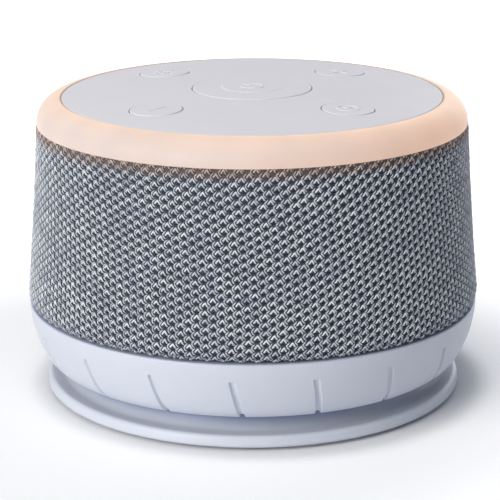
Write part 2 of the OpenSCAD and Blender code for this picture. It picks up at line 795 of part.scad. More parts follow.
module upper_deck() {
    rim_r = sleeve_r(sleeve_top_z) - cloth_t - seat_gap;
    color("white") difference() {
        union() {
            translate([0, 0, deck_z]) cylinder(r = deck_wall_r, h = deck_t);
            tube(deck_wall_r, deck_wall_r - deck_wall_t, deck_z, sleeve_top_z);
            tube(rim_r, deck_rim_in_r, frame_top_z, sleeve_top_z);
            around(4, 20) translate([board_screw_ring_r, 0, deck_z])
                cylinder(r = boss_r, h = deck_t + standoff_h);
        }
        around(deck_screw_count, 45) translate([deck_screw_ring_r, 0, 0])
            screw_hole(frame_top_z - over, deck_rim_t + 2 * over);
        around(4, 45) translate([cover_screw_ring_r, 0, 0])
            screw_hole(deck_z - over, deck_t + 2 * over);
        around(4, 20) translate([board_screw_ring_r, 0, 0]) screw_hole(deck_z - over, deck_t + 10);
        for (at = [lead_at, 90]) rotate(at) translate([lead_in_r, 0, 0])
            screw_hole(deck_z - over, deck_t + 2 * over, lead_hole_r);
    }
}

module deck_screws() {
    color("silver") around(deck_screw_count, 45)
        translate([deck_screw_ring_r, 0, sleeve_top_z]) screw();
}

module led_board() {
    color("seagreen") tube(led_board_r, led_board_in_r, led_board_z, led_z);
}

module led_lamps() {
    color("lemonchiffon") around(led_count) translate([led_ring_r, 0, led_z + led_h / 2])
        cube([led_size, led_size, led_h], center = true);
}

module light_ring() {
    hollow_r = light_round - light_wall;
    lip_top_z = dome_z(cover_r) - cover_t;
    lip_z = lip_top_z - light_lip_t;
    start = asin((lip_z - light_centre_z) / hollow_r);
    centre = [light_centre_r, light_centre_z];
    inner_r = cover_r + cover_gap;
    color("peachpuff") turned(concat([[light_outer_r, light_z]], arc(centre, light_round, 0, 90, 16),
        [[inner_r, light_top_z], [inner_r, lip_top_z], [light_lip_r, lip_top_z], [light_lip_r, lip_z]],
        arc(centre, hollow_r, start, 0, 8), [[light_centre_r + hollow_r, light_z]]));
}

// ---- Top cover ----

// Solid under the dome, raised by rise and trimmed to a cylinder at [x, y] from z0 upwards
module domed_plug(x, y, radius, z0, rise) {
    rim = sqrt(x * x + y * y);
    intersection() {
        translate([x, y, z0]) cylinder(r = radius, h = dome_top_z - z0 + 2);
        turned(concat([[0, z0]], [[rim + radius + 1, z0]],
            [for (i = [steps:-1:0]) let (r = (rim + radius + 1) * i / steps) [r, dome_z(r) + rise]]));
    }
}

module top_cover() {
    edge_z = dome_z(cover_r);
    edge_c = [cover_r - cover_round, edge_z - cover_round];
    under = [for (i = [0:steps]) let (r = cover_r * i / steps) [r, dome_z(r) - cover_t]];
    skirt_out_r = light_lip_r - cover_skirt_gap;
    boss_top_z = dome_z(cover_screw_ring_r) - cover_t / 2;
    color("gainsboro") difference() {
        union() {
            turned(concat(under, [[cover_r, edge_z - cover_round]], arc(edge_c, cover_round, 0, 85, 4),
                [for (i = [steps:-1:0]) let (r = (cover_r - cover_round) * i / steps) [r, dome_z(r)]]));
            tube(skirt_out_r, skirt_out_r - cover_skirt_t, led_z + led_h + run_gap,
                dome_z(skirt_out_r) - cover_t / 2);
            around(4) translate([key_ring_r, 0, 0])
                translate([0, 0, collar_z])
                    cylinder(r = key_r + key_gap + key_wall, h = key_top_z - cover_t / 2 - collar_z);
            translate([0, 0, collar_z]) cylinder(r = power_r + key_gap + key_wall,
                h = dome_z(power_r + key_gap + key_wall) - cover_t / 2 - collar_z);
            around(4, 45) translate([cover_screw_ring_r, 0, deck_floor_z])
                cylinder(r = boss_r, h = boss_top_z - deck_floor_z);
        }
        around(4) translate([key_ring_r, 0, collar_z - over])
            cylinder(r = key_r + key_gap, h = 20);
        translate([0, 0, collar_z - over]) cylinder(r = power_r + key_gap, h = 20);
        around(4, 45) translate([cover_screw_ring_r, 0, 0])
            screw_hole(deck_floor_z - over, screw_l);
    }
}

module cover_screws() {
    color("silver") around(4, 45) translate([cover_screw_ring_r, 0, deck_z]) mirror([0, 0, 1]) screw();
}

// ---- Buttons ----

// A push button at [x, y]: domed cap, skirt, stop flange and centre plunger
module button(x, y, radius) {
    cap_t = 2;
    difference() {
        union() {
            domed_plug(x, y, radius, key_flange_z, key_proud);
            translate([x, y, key_flange_z]) cylinder(r = radius + key_flange_w, h = key_flange_t);
        }
        translate([x, y, key_flange_z - over]) cylinder(r = radius - key_wall,
            h = dome_z(norm([x, y]) + radius) - cap_t - key_flange_z + over);
    }
    translate([x, y, plunger_z])
        cylinder(r = plunger_r, h = dome_z(norm([x, y]) + radius) - plunger_z - 1);
}

// A sign of flat bars raised on a button; its children are drawn in plan about the button's centre
module sign(x, y) {
    rim = norm([x, y]);
    intersection() {
        translate([x, y, 0]) linear_extrude(dome_top_z + 2) children();
        turned(concat([for (i = [0:steps]) let (r = (rim + 10) * i / steps)
                [r, dome_z(r) + key_proud - 0.5]],
            [for (i = [steps:-1:0]) let (r = (rim + 10) * i / steps)
                [r, dome_z(r) + key_proud + sign_h]]));
    }
}

module ring_mark(r) {
    difference() {
        circle(r = r, $fn = 64);
        circle(r = r - sign_stroke, $fn = 64);
    }
}

module bar_mark(length, angle = 0, from = 0) {
    rotate(angle) translate([from, -sign_stroke / 2]) square([length, sign_stroke]);
}

module power_button() {
    mark_r = 4;
    color("gainsboro") {
        button(0, 0, power_r);
        sign(0, 0) circle(r = power_disc_r);
        translate([0, 0, sign_h]) sign(0, 0) {
            difference() {
                ring_mark(mark_r);
                translate([-1.3, 0]) square([2.6, mark_r + over]);
            }
            bar_mark(mark_r, 90, 0.8);
        }
    }
}

module minus_button() {
    mark_l = 7.8;
    color("gainsboro") {
        button(-key_ring_r, 0, key_r);
        sign(-key_ring_r, 0) bar_mark(mark_l, 0, -mark_l / 2);
    }
}

module plus_button() {
    mark_l = 7.8;
    color("gainsboro") {
        button(key_ring_r, 0, key_r);
        sign(key_ring_r, 0) for (a = [0, 90]) bar_mark(mark_l, a, -mark_l / 2);
    }
}

module timer_button() {
    mark_r = 3.8;
    color("gainsboro") {
        button(0, -key_ring_r, key_r);
        sign(0, -key_ring_r) {
            ring_mark(mark_r);
            bar_mark(mark_r - 1.2, 90, -sign_stroke / 2);
            bar_mark(mark_r - 1.7, 0, -sign_stroke / 2);
        }
    }
}

module light_button() {
    mark_r = 2;
    ray_l = 1.4;
    color("gainsboro") {
        button(0, key_ring_r, key_r);
        sign(0, key_ring_r) {
            ring_mark(mark_r);
            for (a = [0:45:315]) bar_mark(ray_l, a, mark_r + 0.8);
        }
    }
}

// ---- Control board ----

module control_board() {
    color("darkgreen") difference() {
        translate([0, 0, board_z]) cylinder(r = board_r, h = board_t);
        around(4, 45) translate([cover_screw_ring_r, 0, 0])
            screw_hole(board_z - over, board_t + 2 * over, boss_r + run_gap);
        around(4, 20) translate([board_screw_ring_r, 0, 0])
            screw_hole(board_z - over, board_t + 2 * over);
    }
}

module board_screws() {
    color("silver") around(4, 20) translate([board_screw_ring_r, 0, board_top_z])
        screw(standoff_h + board_t);
}

module board_parts() {
    // chips and connectors as [x, y, w, d] in steps of the grid and a height, and capacitors as [x, y, r]
    blocks = [[8, -9.5, 4, 4, 1.2], [-9.5, -8, 2.4, 2, 1.2], [-10, 8.5, 3, 2.4, 1.5],
        [8.5, 9.5, 2.4, 2.4, 1.2], [0, 11.5, 4, 1.6, 1.6], [12, 4.8, 1.6, 2.8, 1.6]];
    cans = [[-5.5, -10.8, 1], [-6.5, 11.2, 1], [3.8, -11.6, 0.8]];
    can_h = switch_h - run_gap;
    color("black") translate([0, 0, board_top_z]) {
        for (b = blocks) translate([(b[0] - b[2] / 2) * board_grid, (b[1] - b[3] / 2) * board_grid, 0])
            cube([b[2] * board_grid, b[3] * board_grid, b[4]]);
        for (c = cans) translate([c[0] * board_grid, c[1] * board_grid, 0])
            cylinder(r = c[2] * board_grid, h = can_h, $fn = 32);
    }
}

module tact_switch() {
    translate([-switch_size / 2, -switch_size / 2, board_top_z])
        cube([switch_size, switch_size, switch_h]);
    translate([0, 0, switch_top_z - 0.01])
        cylinder(r = stem_r, h = stem_top_z - switch_top_z + 0.01, $fn = 32);
}

module tact_switches() {
    color("dimgray") {
        tact_switch();
        around(4) translate([key_ring_r, 0, 0]) tact_switch();
    }
}

// ---- Power socket ----

module power_socket() {
    color("black") difference() {
        translate([-jack_w / 2, jack_face_y - jack_l, jack_z - jack_case_h / 2])
            cube([jack_w, jack_l, jack_case_h]);
        translate([0, jack_face_y + over, jack_z]) rotate([90, 0, 0])
            cylinder(r = jack_bore_r, h = jack_bore_l + over);
        translate([0, jack_face_y, jack_z]) rotate([90, 0, 0])
            cylinder(r = jack_pin_r + thread_gap, h = jack_l - over, $fn = 32);
    }
}

module socket_pin() {
    color("gold") translate([0, jack_face_y - jack_pin_set, jack_z]) rotate([90, 0, 0])
        cylinder(r = jack_pin_r, h = jack_l - jack_pin_set - over, $fn = 32);
}

module socket_board() {
    color("darkgreen") difference() {
        translate([-jack_board_w / 2, jack_board_y, jack_board_z])
            cube([jack_board_w, jack_board_l, board_t]);
        for (s = [-1, 1]) translate([s * jack_post_x, jack_post_y, 0])
            screw_hole(jack_board_z - over, board_t + 2 * over);
    }
}

module socket_screws() {
    color("silver") for (s = [-1, 1])
        translate([s * jack_post_x, jack_post_y, jack_board_z + board_t]) screw(screw_l - 1);
}

module socket_bezel() {
    back_y = jack_face_y + seat_gap;
    color("lavender") translate([0, 0, jack_z]) rotate([-90, 0, 0]) {
        tube(bezel_in_r + bezel_wall, bezel_in_r, back_y, bezel_face_y);
        tube(bezel_flange_r, bezel_in_r, bezel_face_y - bezel_flange_t, bezel_face_y);
    }
}

// ---- Leads between the motor, the socket and the control board ----

module motor_leads() {
    color("firebrick") rotate(lead_at) for (s = [-1, 1]) translate([0, s * lead_side, 0])
        lead([[motor_r, 0, lead_exit_z], [lead_rise_r, 0, lead_exit_z], [lead_rise_r, 0, lead_turn_z],
            [lead_in_r, 0, lead_turn_z], [lead_in_r, 0, board_z]]);
}

module power_leads() {
    color("black") for (s = [-1, 1]) translate([s * lead_side, 0, 0])
        lead([[0, socket_lead_y, jack_board_z + board_t], [0, socket_lead_y, lead_turn_z],
            [0, lead_in_r, lead_turn_z], [0, lead_in_r, board_z]]);
}

foot_pad();
base_disc();
base_screws();
lower_chassis();
tone_ring();
grille_frame();
frame_screws();
fabric_sleeve();
acoustic_chamber();
chamber_screws();
motor_can();
motor_cap();
motor_bushes();
motor_magnets();
motor_bracket();
motor_screws();
rubber_mounts();
bracket_screws();
motor_shaft();
armature();
fan_wheel();
upper_deck();
deck_screws();
led_board();
led_lamps();
light_ring();
top_cover();
cover_screws();
control_board();
board_screws();
board_parts();
tact_switches();
power_button();
minus_button();
plus_button();
timer_button();
light_button();
power_socket();
socket_pin();
socket_board();
socket_screws();
socket_bezel();
motor_leads();
power_leads();
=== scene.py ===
import json
import math
import bpy
import numpy as np
from mathutils import Matrix


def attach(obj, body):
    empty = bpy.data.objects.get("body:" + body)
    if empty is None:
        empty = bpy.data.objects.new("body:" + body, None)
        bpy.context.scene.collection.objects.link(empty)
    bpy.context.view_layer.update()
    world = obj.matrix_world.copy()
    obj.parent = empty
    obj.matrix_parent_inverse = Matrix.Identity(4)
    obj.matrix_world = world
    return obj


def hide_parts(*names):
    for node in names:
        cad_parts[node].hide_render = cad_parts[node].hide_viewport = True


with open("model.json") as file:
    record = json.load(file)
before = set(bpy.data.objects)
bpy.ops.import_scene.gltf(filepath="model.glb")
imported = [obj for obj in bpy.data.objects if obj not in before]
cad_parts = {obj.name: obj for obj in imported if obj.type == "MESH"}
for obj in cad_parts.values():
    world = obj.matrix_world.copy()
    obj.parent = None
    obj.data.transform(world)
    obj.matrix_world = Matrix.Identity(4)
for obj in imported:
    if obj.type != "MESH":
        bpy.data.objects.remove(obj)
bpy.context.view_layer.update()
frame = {"nodes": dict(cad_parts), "record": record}
mm = 0.001               # every size below is in millimetres; meshes are written in metres
scene = bpy.context.scene
scene.view_settings.view_transform = "Standard"

# camera: place in mm, tilt, turn and roll in degrees
view = {"place": (-427.93, -427.93, 220.46), "lens": 136.53, "tilt": 73.7455, "turn": -45.0,
        "roll": -0.2323, "shift": (-0.00532, -0.00072)}


def placeCamera():
    data = bpy.data.cameras.new("camera")
    data.lens = view["lens"]
    data.sensor_width = 36
    data.shift_x, data.shift_y = view["shift"]
    data.clip_start = 0.05
    data.clip_end = 30
    camera = bpy.data.objects.new("camera", data)
    scene.collection.objects.link(camera)
    turn, tilt, roll = (math.radians(view[k]) for k in ("turn", "tilt", "roll"))
    place = Matrix.Translation([v * mm for v in view["place"]])
    camera.matrix_world = place @ Matrix.Rotation(turn, 4, "Z") @ Matrix.Rotation(tilt, 4, "X") \
        @ Matrix.Rotation(roll, 4, "Z")
    scene.camera = camera


placeCamera()
print("camera placed")


# meshes

def arc(centre, radius, start, end, count):
    # points centre + radius (cos a, sin a), a running from start to end in degrees
    a = np.radians(np.linspace(start, end, count))
    return np.column_stack([centre[0] + radius * np.cos(a), centre[1] + radius * np.sin(a)])


def corners(points):
    # plain outline points as (r, z, fillet) rows with no fillet
    points = np.asarray(points, float)
    return np.column_stack([points, np.zeros(len(points))])


def rounded(outline, steps=5, guard=0.12):
    # closed outline of (r, z, fillet) rows; a fillet f at a corner p between unit directions u and v is the
    # arc about p + (u + v) / |u + v| * f / sin(half angle), and a guard point on each side keeps its shading
    outline = np.asarray(outline, float)
    rows = []
    for k, (r, z, fillet) in enumerate(outline):
        p = np.array([r, z])
        if fillet == 0:
            rows.append(p[None])
            continue
        u, v = outline[k - 1, :2] - p, outline[(k + 1) % len(outline), :2] - p
        u, v = u / np.linalg.norm(u), v / np.linalg.norm(v)
        half = math.acos(np.clip(u @ v, -1, 1)) / 2
        reach = fillet / math.tan(half)
        centre = p + (u + v) / np.linalg.norm(u + v) * fillet / math.sin(half)
        start, end = p + u * reach - centre, p + v * reach - centre
        swing = math.atan2(start[0] * end[1] - start[1] * end[0], start @ end)
        a = np.linspace(0, swing, steps + 1)[:, None]
        bend = centre + np.cos(a) * start + np.sin(a) * np.array([-start[1], start[0]])
        rows.append(np.vstack([p + u * (reach + guard), bend, p + v * (reach + guard)]))
    return np.vstack(rows)


def gridFaces(rows, columns, closeRows=True, closeColumns=True):
    # quads of a grid whose vertex (i, j) is number i * columns + j, wound (i, j) (i, j+1) (i+1, j+1) (i+1, j)
    i, j = np.meshgrid(np.arange(rows if closeRows else rows - 1),
                       np.arange(columns if closeColumns else columns - 1), indexing="ij")
    here, over, right = i * columns, (i + 1) % rows * columns, (j + 1) % columns
    return np.stack([here + j, here + right, over + right, over + j], axis=-1).reshape(-1, 4)


def polar(r, angle, z):
    # points (r cos a, r sin a, z), one for each place of three grids that broadcast together
    return np.stack(np.broadcast_arrays(r * np.cos(angle), r * np.sin(angle), z), axis=-1).reshape(-1, 3)


def turned(outline, columns, start=0.0, closed=True):
    # P(i, a) = (r_i cos a, r_i sin a, z_i); an outline that runs anticlockwise in (r, z) faces outwards. An
    # open outline gives a skin with two free edges
    outline = np.asarray(outline, float)
    angle = start + np.arange(columns) * 2 * np.pi / columns
    return polar(outline[:, :1], angle, outline[:, 1:2]), gridFaces(len(outline), columns, closeRows=closed)


def skin(outline, columns):
    # an open turned surface whose columns meet the corners of the holed plates
    return turned(outline, columns, -np.pi / 4, False)


def joined(*parts):
    # one list of points and quads from several
    points = np.vstack([p for p, _ in parts])
    starts = np.cumsum([0] + [len(p) for p, _ in parts[:-1]])
    return points, np.vstack([q + s for (_, q), s in zip(parts, starts)])


def weld(points, quads, step=2e-4):
    # points within a step of each other become one; a quad that loses a corner is kept as a triangle
    keys = np.round(points / step + 0.317).astype(np.int64)
    _, first, back = np.unique(keys, axis=0, return_index=True, return_inverse=True)
    points, quads = points[first], back.ravel()[quads]
    same = quads == np.roll(quads, -1, axis=1)
    lost = same.sum(axis=1)
    tris = quads[lost == 1][~same[lost == 1]].reshape(-1, 3)
    return points, quads[lost == 0], tris


def addPiece(name, points, quads, tris=None, body="housing", slot="body_plastic", stands=(), paint=None,
             sharp=40, uv=None, tint=None):
    # writes the arrays into a mesh at the origin, and says what it rides on and stands for. The paint is the
    # slot's own if none is given
    tris = np.zeros((0, 3), int) if tris is None else tris
    loops = np.concatenate([quads.ravel(), tris.ravel()]).astype(np.int32)
    starts = np.concatenate([np.arange(len(quads)) * 4, quads.size + np.arange(len(tris)) * 3])
    mesh = bpy.data.meshes.new(name)
    mesh.vertices.add(len(points))
    mesh.vertices.foreach_set("co", (points * mm).astype(np.float32).ravel())
    mesh.loops.add(len(loops))
    mesh.loops.foreach_set("vertex_index", loops)
    mesh.polygons.add(len(starts))
    mesh.polygons.foreach_set("loop_start", starts.astype(np.int32))
    mesh.update(calc_edges=True)
    mesh.validate()
    mesh.shade_smooth()
    mesh.set_sharp_from_angle(angle=math.radians(sharp))
    if uv is not None:
        layer = mesh.uv_layers.new(name="lengthwise")
        layer.data.foreach_set("uv", uv[loops].astype(np.float32).ravel())
    if tint is not None:
        layer = mesh.attributes.new("tint", "FLOAT", "POINT")
        layer.data.foreach_set("value", tint.astype(np.float32))
    piece = bpy.data.objects.new(name, mesh)
    scene.collection.objects.link(piece)
    mesh.materials.append(paint or paints[slot])
    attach(piece, body)
    if stands:
        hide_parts(*stands)
    return piece


dome = {"top": 99.0, "edge": 61.7, "rise": 2.2}
dome["radius"] = (dome["edge"] ** 2 + dome["rise"] ** 2) / (2 * dome["rise"])


def domeHeight(r):
    # the cover is a sphere cap: z = top - R + sqrt(R^2 - r^2)
    return dome["top"] - dome["radius"] + np.sqrt(dome["radius"] ** 2 - np.square(r))


# the cloth's side and its weave: rows rise by whole steps per turn, "lean" is how columns lean towards the
# foot, "meanRadius" turns mm round the drum into angles
sleeve = {"lowRadius": 74.2, "taper": 4.25, "bow": 1.12, "rollHeight": 33.7, "top": 88.6, "roll": 3.3,
          "tuck": 1.2, "foot": 30.42, "meanRadius": 74.0, "backing": 0.8, "thickness": 1.1,
          "holeRadius": 8.75, "holeHeight": 43.1, "columns": 180, "rowStep": 2.53, "rowGrowth": 0.0033,
          "rise": 4, "wave": 1.1, "lean": (0.03, 0.0000183), "seed": 11}


def sleeveRadius(t):
    # the side above the roll: r = low - taper t - bow t (1 - t), t running from 0 to 1 up to the top
    return sleeve["lowRadius"] - sleeve["taper"] * t - sleeve["bow"] * t * (1 - t)


def sleevePoint(s):
    # s in mm along the side from the foot: a quarter roll r = low - tuck (1 - sin a), z = roll height -
    # roll cos a, then the plain side up to the top. Returns radius, height and the outward normal
    a = np.radians(np.linspace(0, 90, 31))[:-1]
    t = np.linspace(0, 1, 200)
    r = np.concatenate([sleeve["lowRadius"] - sleeve["tuck"] * (1 - np.sin(a)), sleeveRadius(t)])
    z = np.concatenate([sleeve["rollHeight"] - sleeve["roll"] * np.cos(a),
                        sleeve["rollHeight"] + (sleeve["top"] - sleeve["rollHeight"]) * t])
    length = np.concatenate([[0], np.cumsum(np.hypot(np.diff(r), np.diff(z)))])
    dr, dz = np.gradient(r, length), np.gradient(z, length)
    s = np.clip(s, 0, length[-1])
    out = [np.interp(s, length, v) for v in (r, z, dz, -dr)]
    size = np.hypot(out[2], out[3])
    return out[0], out[1], out[2] / size, out[3] / size


def sleeveLength():
    # length of the side from foot to top, by its own points
    r, z, _, _ = sleevePoint(np.linspace(0, 200, 20001))
    return float(np.sum(np.hypot(np.diff(r), np.diff(z))))


def columnLean(s, full):
    # how far round a column has moved at the height s, in mm from its place at the top
    return sleeve["lean"][0] * (full - s) + sleeve["lean"][1] * (full ** 3 - s ** 3)


# materials

def srgb(red, green, blue):
    # a colour as it looks on screen, 0 to 255, made linear
    c = np.array([red, green, blue]) / 255
    return (*np.where(c <= 0.04045, c / 12.92, ((c + 0.055) / 1.055) ** 2.4), 1.0)


def newPaint(name, colour, roughness, **sockets):
    paint = bpy.data.materials.new(name)
    paint.use_nodes = True
    shader = paint.node_tree.nodes["Principled BSDF"]
    shader.inputs["Base Color"].default_value = colour
    shader.inputs["Roughness"].default_value = roughness
    for key, value in sockets.items():
        shader.inputs[key.replace("_", " ")].default_value = value
    return paint, shader


def addNode(paint, kind, inputs=None, **settings):
    # a node whose inputs are numbers, or the outputs of other nodes
    made = paint.node_tree.nodes.new("ShaderNode" + kind)
    for key, value in settings.items():
        setattr(made, key, value)
    for key, value in (inputs or {}).items():
        wire(paint, made.inputs[key], value)
    return made


def wire(paint, socket, value):
    if isinstance(value, bpy.types.NodeSocket):
        paint.node_tree.links.new(value, socket)
    else:
        socket.default_value = value


def ownPlace(paint):
    return addNode(paint, "TexCoord").outputs["Object"]


def fromAxis(paint, axis):
    # distance from the Z axis, of the split place whose X and Y are given
    flat = addNode(paint, "CombineXYZ", {"X": axis["X"], "Y": axis["Y"]}).outputs["Vector"]
    return addNode(paint, "VectorMath", {0: flat}, operation="LENGTH").outputs["Value"]


def calc(paint, kind, first, second=0.0):
    # one step of arithmetic on numbers or node outputs
    return addNode(paint, "Math", {0: first, 1: second}, operation=kind).outputs[0]


def toned(colour, factor, lift=0.0):
    # the colour made darker or paler by a factor
    return tuple(c * factor + lift for c in colour[:3]) + (1.0,)


def shift(paint, value, low, high, fromLow=0.3, fromHigh=0.7):
    # a value between fromLow and fromHigh carried to the range low to high
    made = addNode(paint, "MapRange", {"Value": value, "From Min": fromLow, "From Max": fromHigh,
                                       "To Min": low, "To Max": high})
    return made.outputs["Result"]


def blend(paint, factor, first, second, mode="MIX"):
    made = addNode(paint, "Mix", data_type="RGBA", blend_type=mode)
    for socket, value in ((made.inputs[0], factor), (made.inputs[6], first), (made.inputs[7], second)):
        wire(paint, socket, value)
    return made.outputs[2]


def noise(paint, where, size, detail=2.0, roughness=0.5):
    # noise whose features are about size mm across
    made = addNode(paint, "TexNoise", {"Vector": where, "Scale": 1 / (size * mm), "Detail": detail,
                                       "Roughness": roughness})
    return made.outputs["Fac"]


def bump(paint, shader, height, depth, strength=1.0, under=None):
    # height 0 to 1 raises the surface by depth mm
    made = addNode(paint, "Bump", {"Height": height, "Distance": depth * mm, "Strength": strength})
    if under:
        paint.node_tree.links.new(under, made.inputs["Normal"])
    paint.node_tree.links.new(made.outputs["Normal"], shader.inputs["Normal"])
    return made.outputs["Normal"]


# painted shade: "lowFade" and "highFade" are the heights over which the painted shade comes in and goes out
# again
recess = {"inner": 61.0, "outer": 68.0, "low": 4.9, "lowFade": 3.0, "high": 10.2, "highFade": 0.6,
          "seam": 29.3, "seamFade": 0.2, "seamWeight": 0.35, "shade": (170, 182, 211)}


def paintedRecessShade(paint, where, tone):
    # painted shade: the gap above the stand and the seam under the cloth are painted in a bluish shade where
    # shadow falls there. It is full where r < inner, between the fades above low and below high, falls to
    # none at the outer radius, and above the seam's height it has the seam's weight
    axis = addNode(paint, "SeparateXYZ", {"Vector": where}).outputs
    low, high, edge = recess["low"], recess["high"], recess["seam"]
    inside = shift(paint, fromAxis(paint, axis), 1, 0, recess["inner"] * mm, recess["outer"] * mm)
    above = shift(paint, axis["Z"], 0, 1, low * mm, (low + recess["lowFade"]) * mm)
    below = shift(paint, axis["Z"], 1, 0, (high - recess["highFade"]) * mm, high * mm)
    gap = calc(paint, "MULTIPLY", calc(paint, "MULTIPLY", above, below), inside)
    seam = shift(paint, axis["Z"], 0, recess["seamWeight"], edge * mm, (edge + recess["seamFade"]) * mm)
    shaded = blend(paint, 1.0, tone, srgb(*recess["shade"]), "MULTIPLY")
    return blend(paint, calc(paint, "MAXIMUM", gap, seam), tone, shaded)


def moulded(name, colour, roughness, grain=0.35, depth=0.012, sheen=0.0, cloud=0.03, level=0.5, shaded=False):
    # moulded plastic: a fine spark-eroded grain, a broad cloudiness of tone and roughness, small sink marks,
    # and when shaded, a painted shade in the gap and the seam
    paint, shader = newPaint(name, colour, roughness, Sheen_Weight=sheen, Coat_Weight=0.04,
                             Coat_Roughness=0.35)
    where = ownPlace(paint)
    broad = noise(paint, where, 28, 3)
    fine = noise(paint, where, grain, 4, 0.6)
    dark = toned(colour, 1 - cloud)
    tone = blend(paint, shift(paint, broad, 0, 1), colour, dark)
    speck = blend(paint, shift(paint, fine, 0, 0.05), tone, srgb(120, 122, 130))
    shader.inputs["Specular IOR Level"].default_value = level
    # when shaded, a painted shade is laid over the base colour in the gap and the seam
    wire(paint, shader.inputs["Base Color"], paintedRecessShade(paint, where, speck) if shaded else speck)
    patches = noise(paint, where, 9)
    wire(paint, shader.inputs["Roughness"], shift(paint, patches, roughness - 0.04, roughness + 0.05))
    wave = bump(paint, shader, broad, 0.05, 0.5)
    bump(paint, shader, fine, depth, 1.0, wave)
    return paint


def metal(name, colour, roughness, stretch=(1, 1, 14), grain=0.25, depth=0.01):
    # turned or rolled metal: fine lines, stretched along one direction, in tone, roughness and height
    paint, shader = newPaint(name, colour, roughness, Metallic=1.0)
    where = ownPlace(paint)
    lines = addNode(paint, "Mapping", {"Vector": where, "Scale": stretch}).outputs["Vector"]
    streak = noise(paint, lines, grain, 3, 0.6)
    stain = noise(paint, where, 4, 4, 0.6)
    dark = toned(colour, 0.72)
    tone = blend(paint, shift(paint, stain, 0, 0.7), colour, dark)
    wire(paint, shader.inputs["Base Color"], tone)
    wire(paint, shader.inputs["Roughness"], shift(paint, streak, roughness - 0.08, roughness + 0.12))
    bump(paint, shader, streak, depth)
    return paint


def rubber(name, colour, roughness=0.8, grain=0.5):
    # soft rubber: dull, with a pitted skin and a dusting of paler bloom
    paint, shader = newPaint(name, colour, roughness, Sheen_Weight=0.15)
    where = ownPlace(paint)
    pits = addNode(paint, "TexVoronoi", {"Vector": where, "Scale": 1 / (grain * mm)}).outputs["Distance"]
    bloom = noise(paint, where, 12, 4, 0.6)
    pale = toned(colour, 1.8, 0.01)
    wire(paint, shader.inputs["Base Color"], blend(paint, shift(paint, bloom, 0, 0.6), colour, pale))
    wire(paint, shader.inputs["Roughness"], shift(paint, bloom, roughness - 0.06, roughness + 0.1))
    bump(paint, shader, pits, 0.03)
    return paint


def circuitBoard(name):
    # solder mask over copper: tracks and pads of a brick grid show as a paler, raised green
    mask, copper = srgb(22, 92, 52), srgb(58, 140, 84)
    paint, shader = newPaint(name, mask, 0.3, Coat_Weight=0.4, Coat_Roughness=0.15)
    where = ownPlace(paint)
    grid = addNode(paint, "TexBrick", {"Vector": where, "Scale": 260.0, "Mortar Size": 0.012,
                                       "Mortar Smooth": 0.1, "Color1": (0, 0, 0, 1), "Color2": (0, 0, 0, 1),
                                       "Mortar": (1, 1, 1, 1)}).outputs["Color"]
    pads = addNode(paint, "TexVoronoi", {"Vector": where, "Scale": 390.0, "Randomness": 0.35})
    dots = shift(paint, pads.outputs["Distance"], 1, 0, 0.16, 0.2)
    tracks = blend(paint, 1.0, grid, dots, "LIGHTEN")
    wire(paint, shader.inputs["Base Color"], blend(paint, tracks, mask, copper))
    bump(paint, shader, tracks, 0.03)
    return paint


def windings(name):
    # enamelled copper wire wound side by side: a wave across the turns, glossy enamel
    paint, shader = newPaint(name, srgb(176, 92, 48), 0.28, Metallic=0.9, Coat_Weight=0.6)
    where = ownPlace(paint)
    turns = addNode(paint, "TexWave", {"Vector": where, "Scale": 900.0, "Distortion": 1.2, "Detail": 2.0,
                                       "Detail Scale": 1.5}, bands_direction="Z").outputs["Fac"]
    wire(paint, shader.inputs["Base Color"], blend(paint, turns, srgb(104, 46, 24), srgb(196, 108, 58)))
    bump(paint, shader, turns, 0.12)
    return paint


def lampLens(name):
    # a white package with a yellow phosphor face that glows faintly
    paint, shader = newPaint(name, srgb(250, 236, 190), 0.35, Emission_Strength=0.6)
    where = ownPlace(paint)
    dapple = noise(paint, where, 0.9, 3)
    tone = blend(paint, shift(paint, dapple, 0, 1), srgb(250, 240, 205), srgb(244, 214, 120))
    wire(paint, shader.inputs["Base Color"], tone)
    wire(paint, shader.inputs["Emission Color"], tone)
    bump(paint, shader, dapple, 0.02)
    return paint


def lead(name, colour):
    # insulated wire: smooth and soft, with faint drawing lines
    paint, shader = newPaint(name, colour, 0.42, Coat_Weight=0.15)
    where = ownPlace(paint)
    streak = noise(paint, where, 1.6, 3)
    dark = toned(colour, 0.7)
    wire(paint, shader.inputs["Base Color"], blend(paint, shift(paint, streak, 0, 1), colour, dark))
    bump(paint, shader, streak, 0.03)
    return paint


# "edgeGlow" is how bright the edge beside the cover is, over the "edgeFade" widths from the inner radius; the
# dimmer edge is painted shade along the seam
glow = {"near": (255, 192, 133), "far": (229, 172, 127), "strength": 0.7, "lamps": 24, "innerRadius": 62.0,
        "outerRadius": 69.9, "edgeGlow": 0.45, "edgeFade": (0.1, 0.6), "milk": (138, 160, 173),
        "milkCloud": (132, 152, 164)}


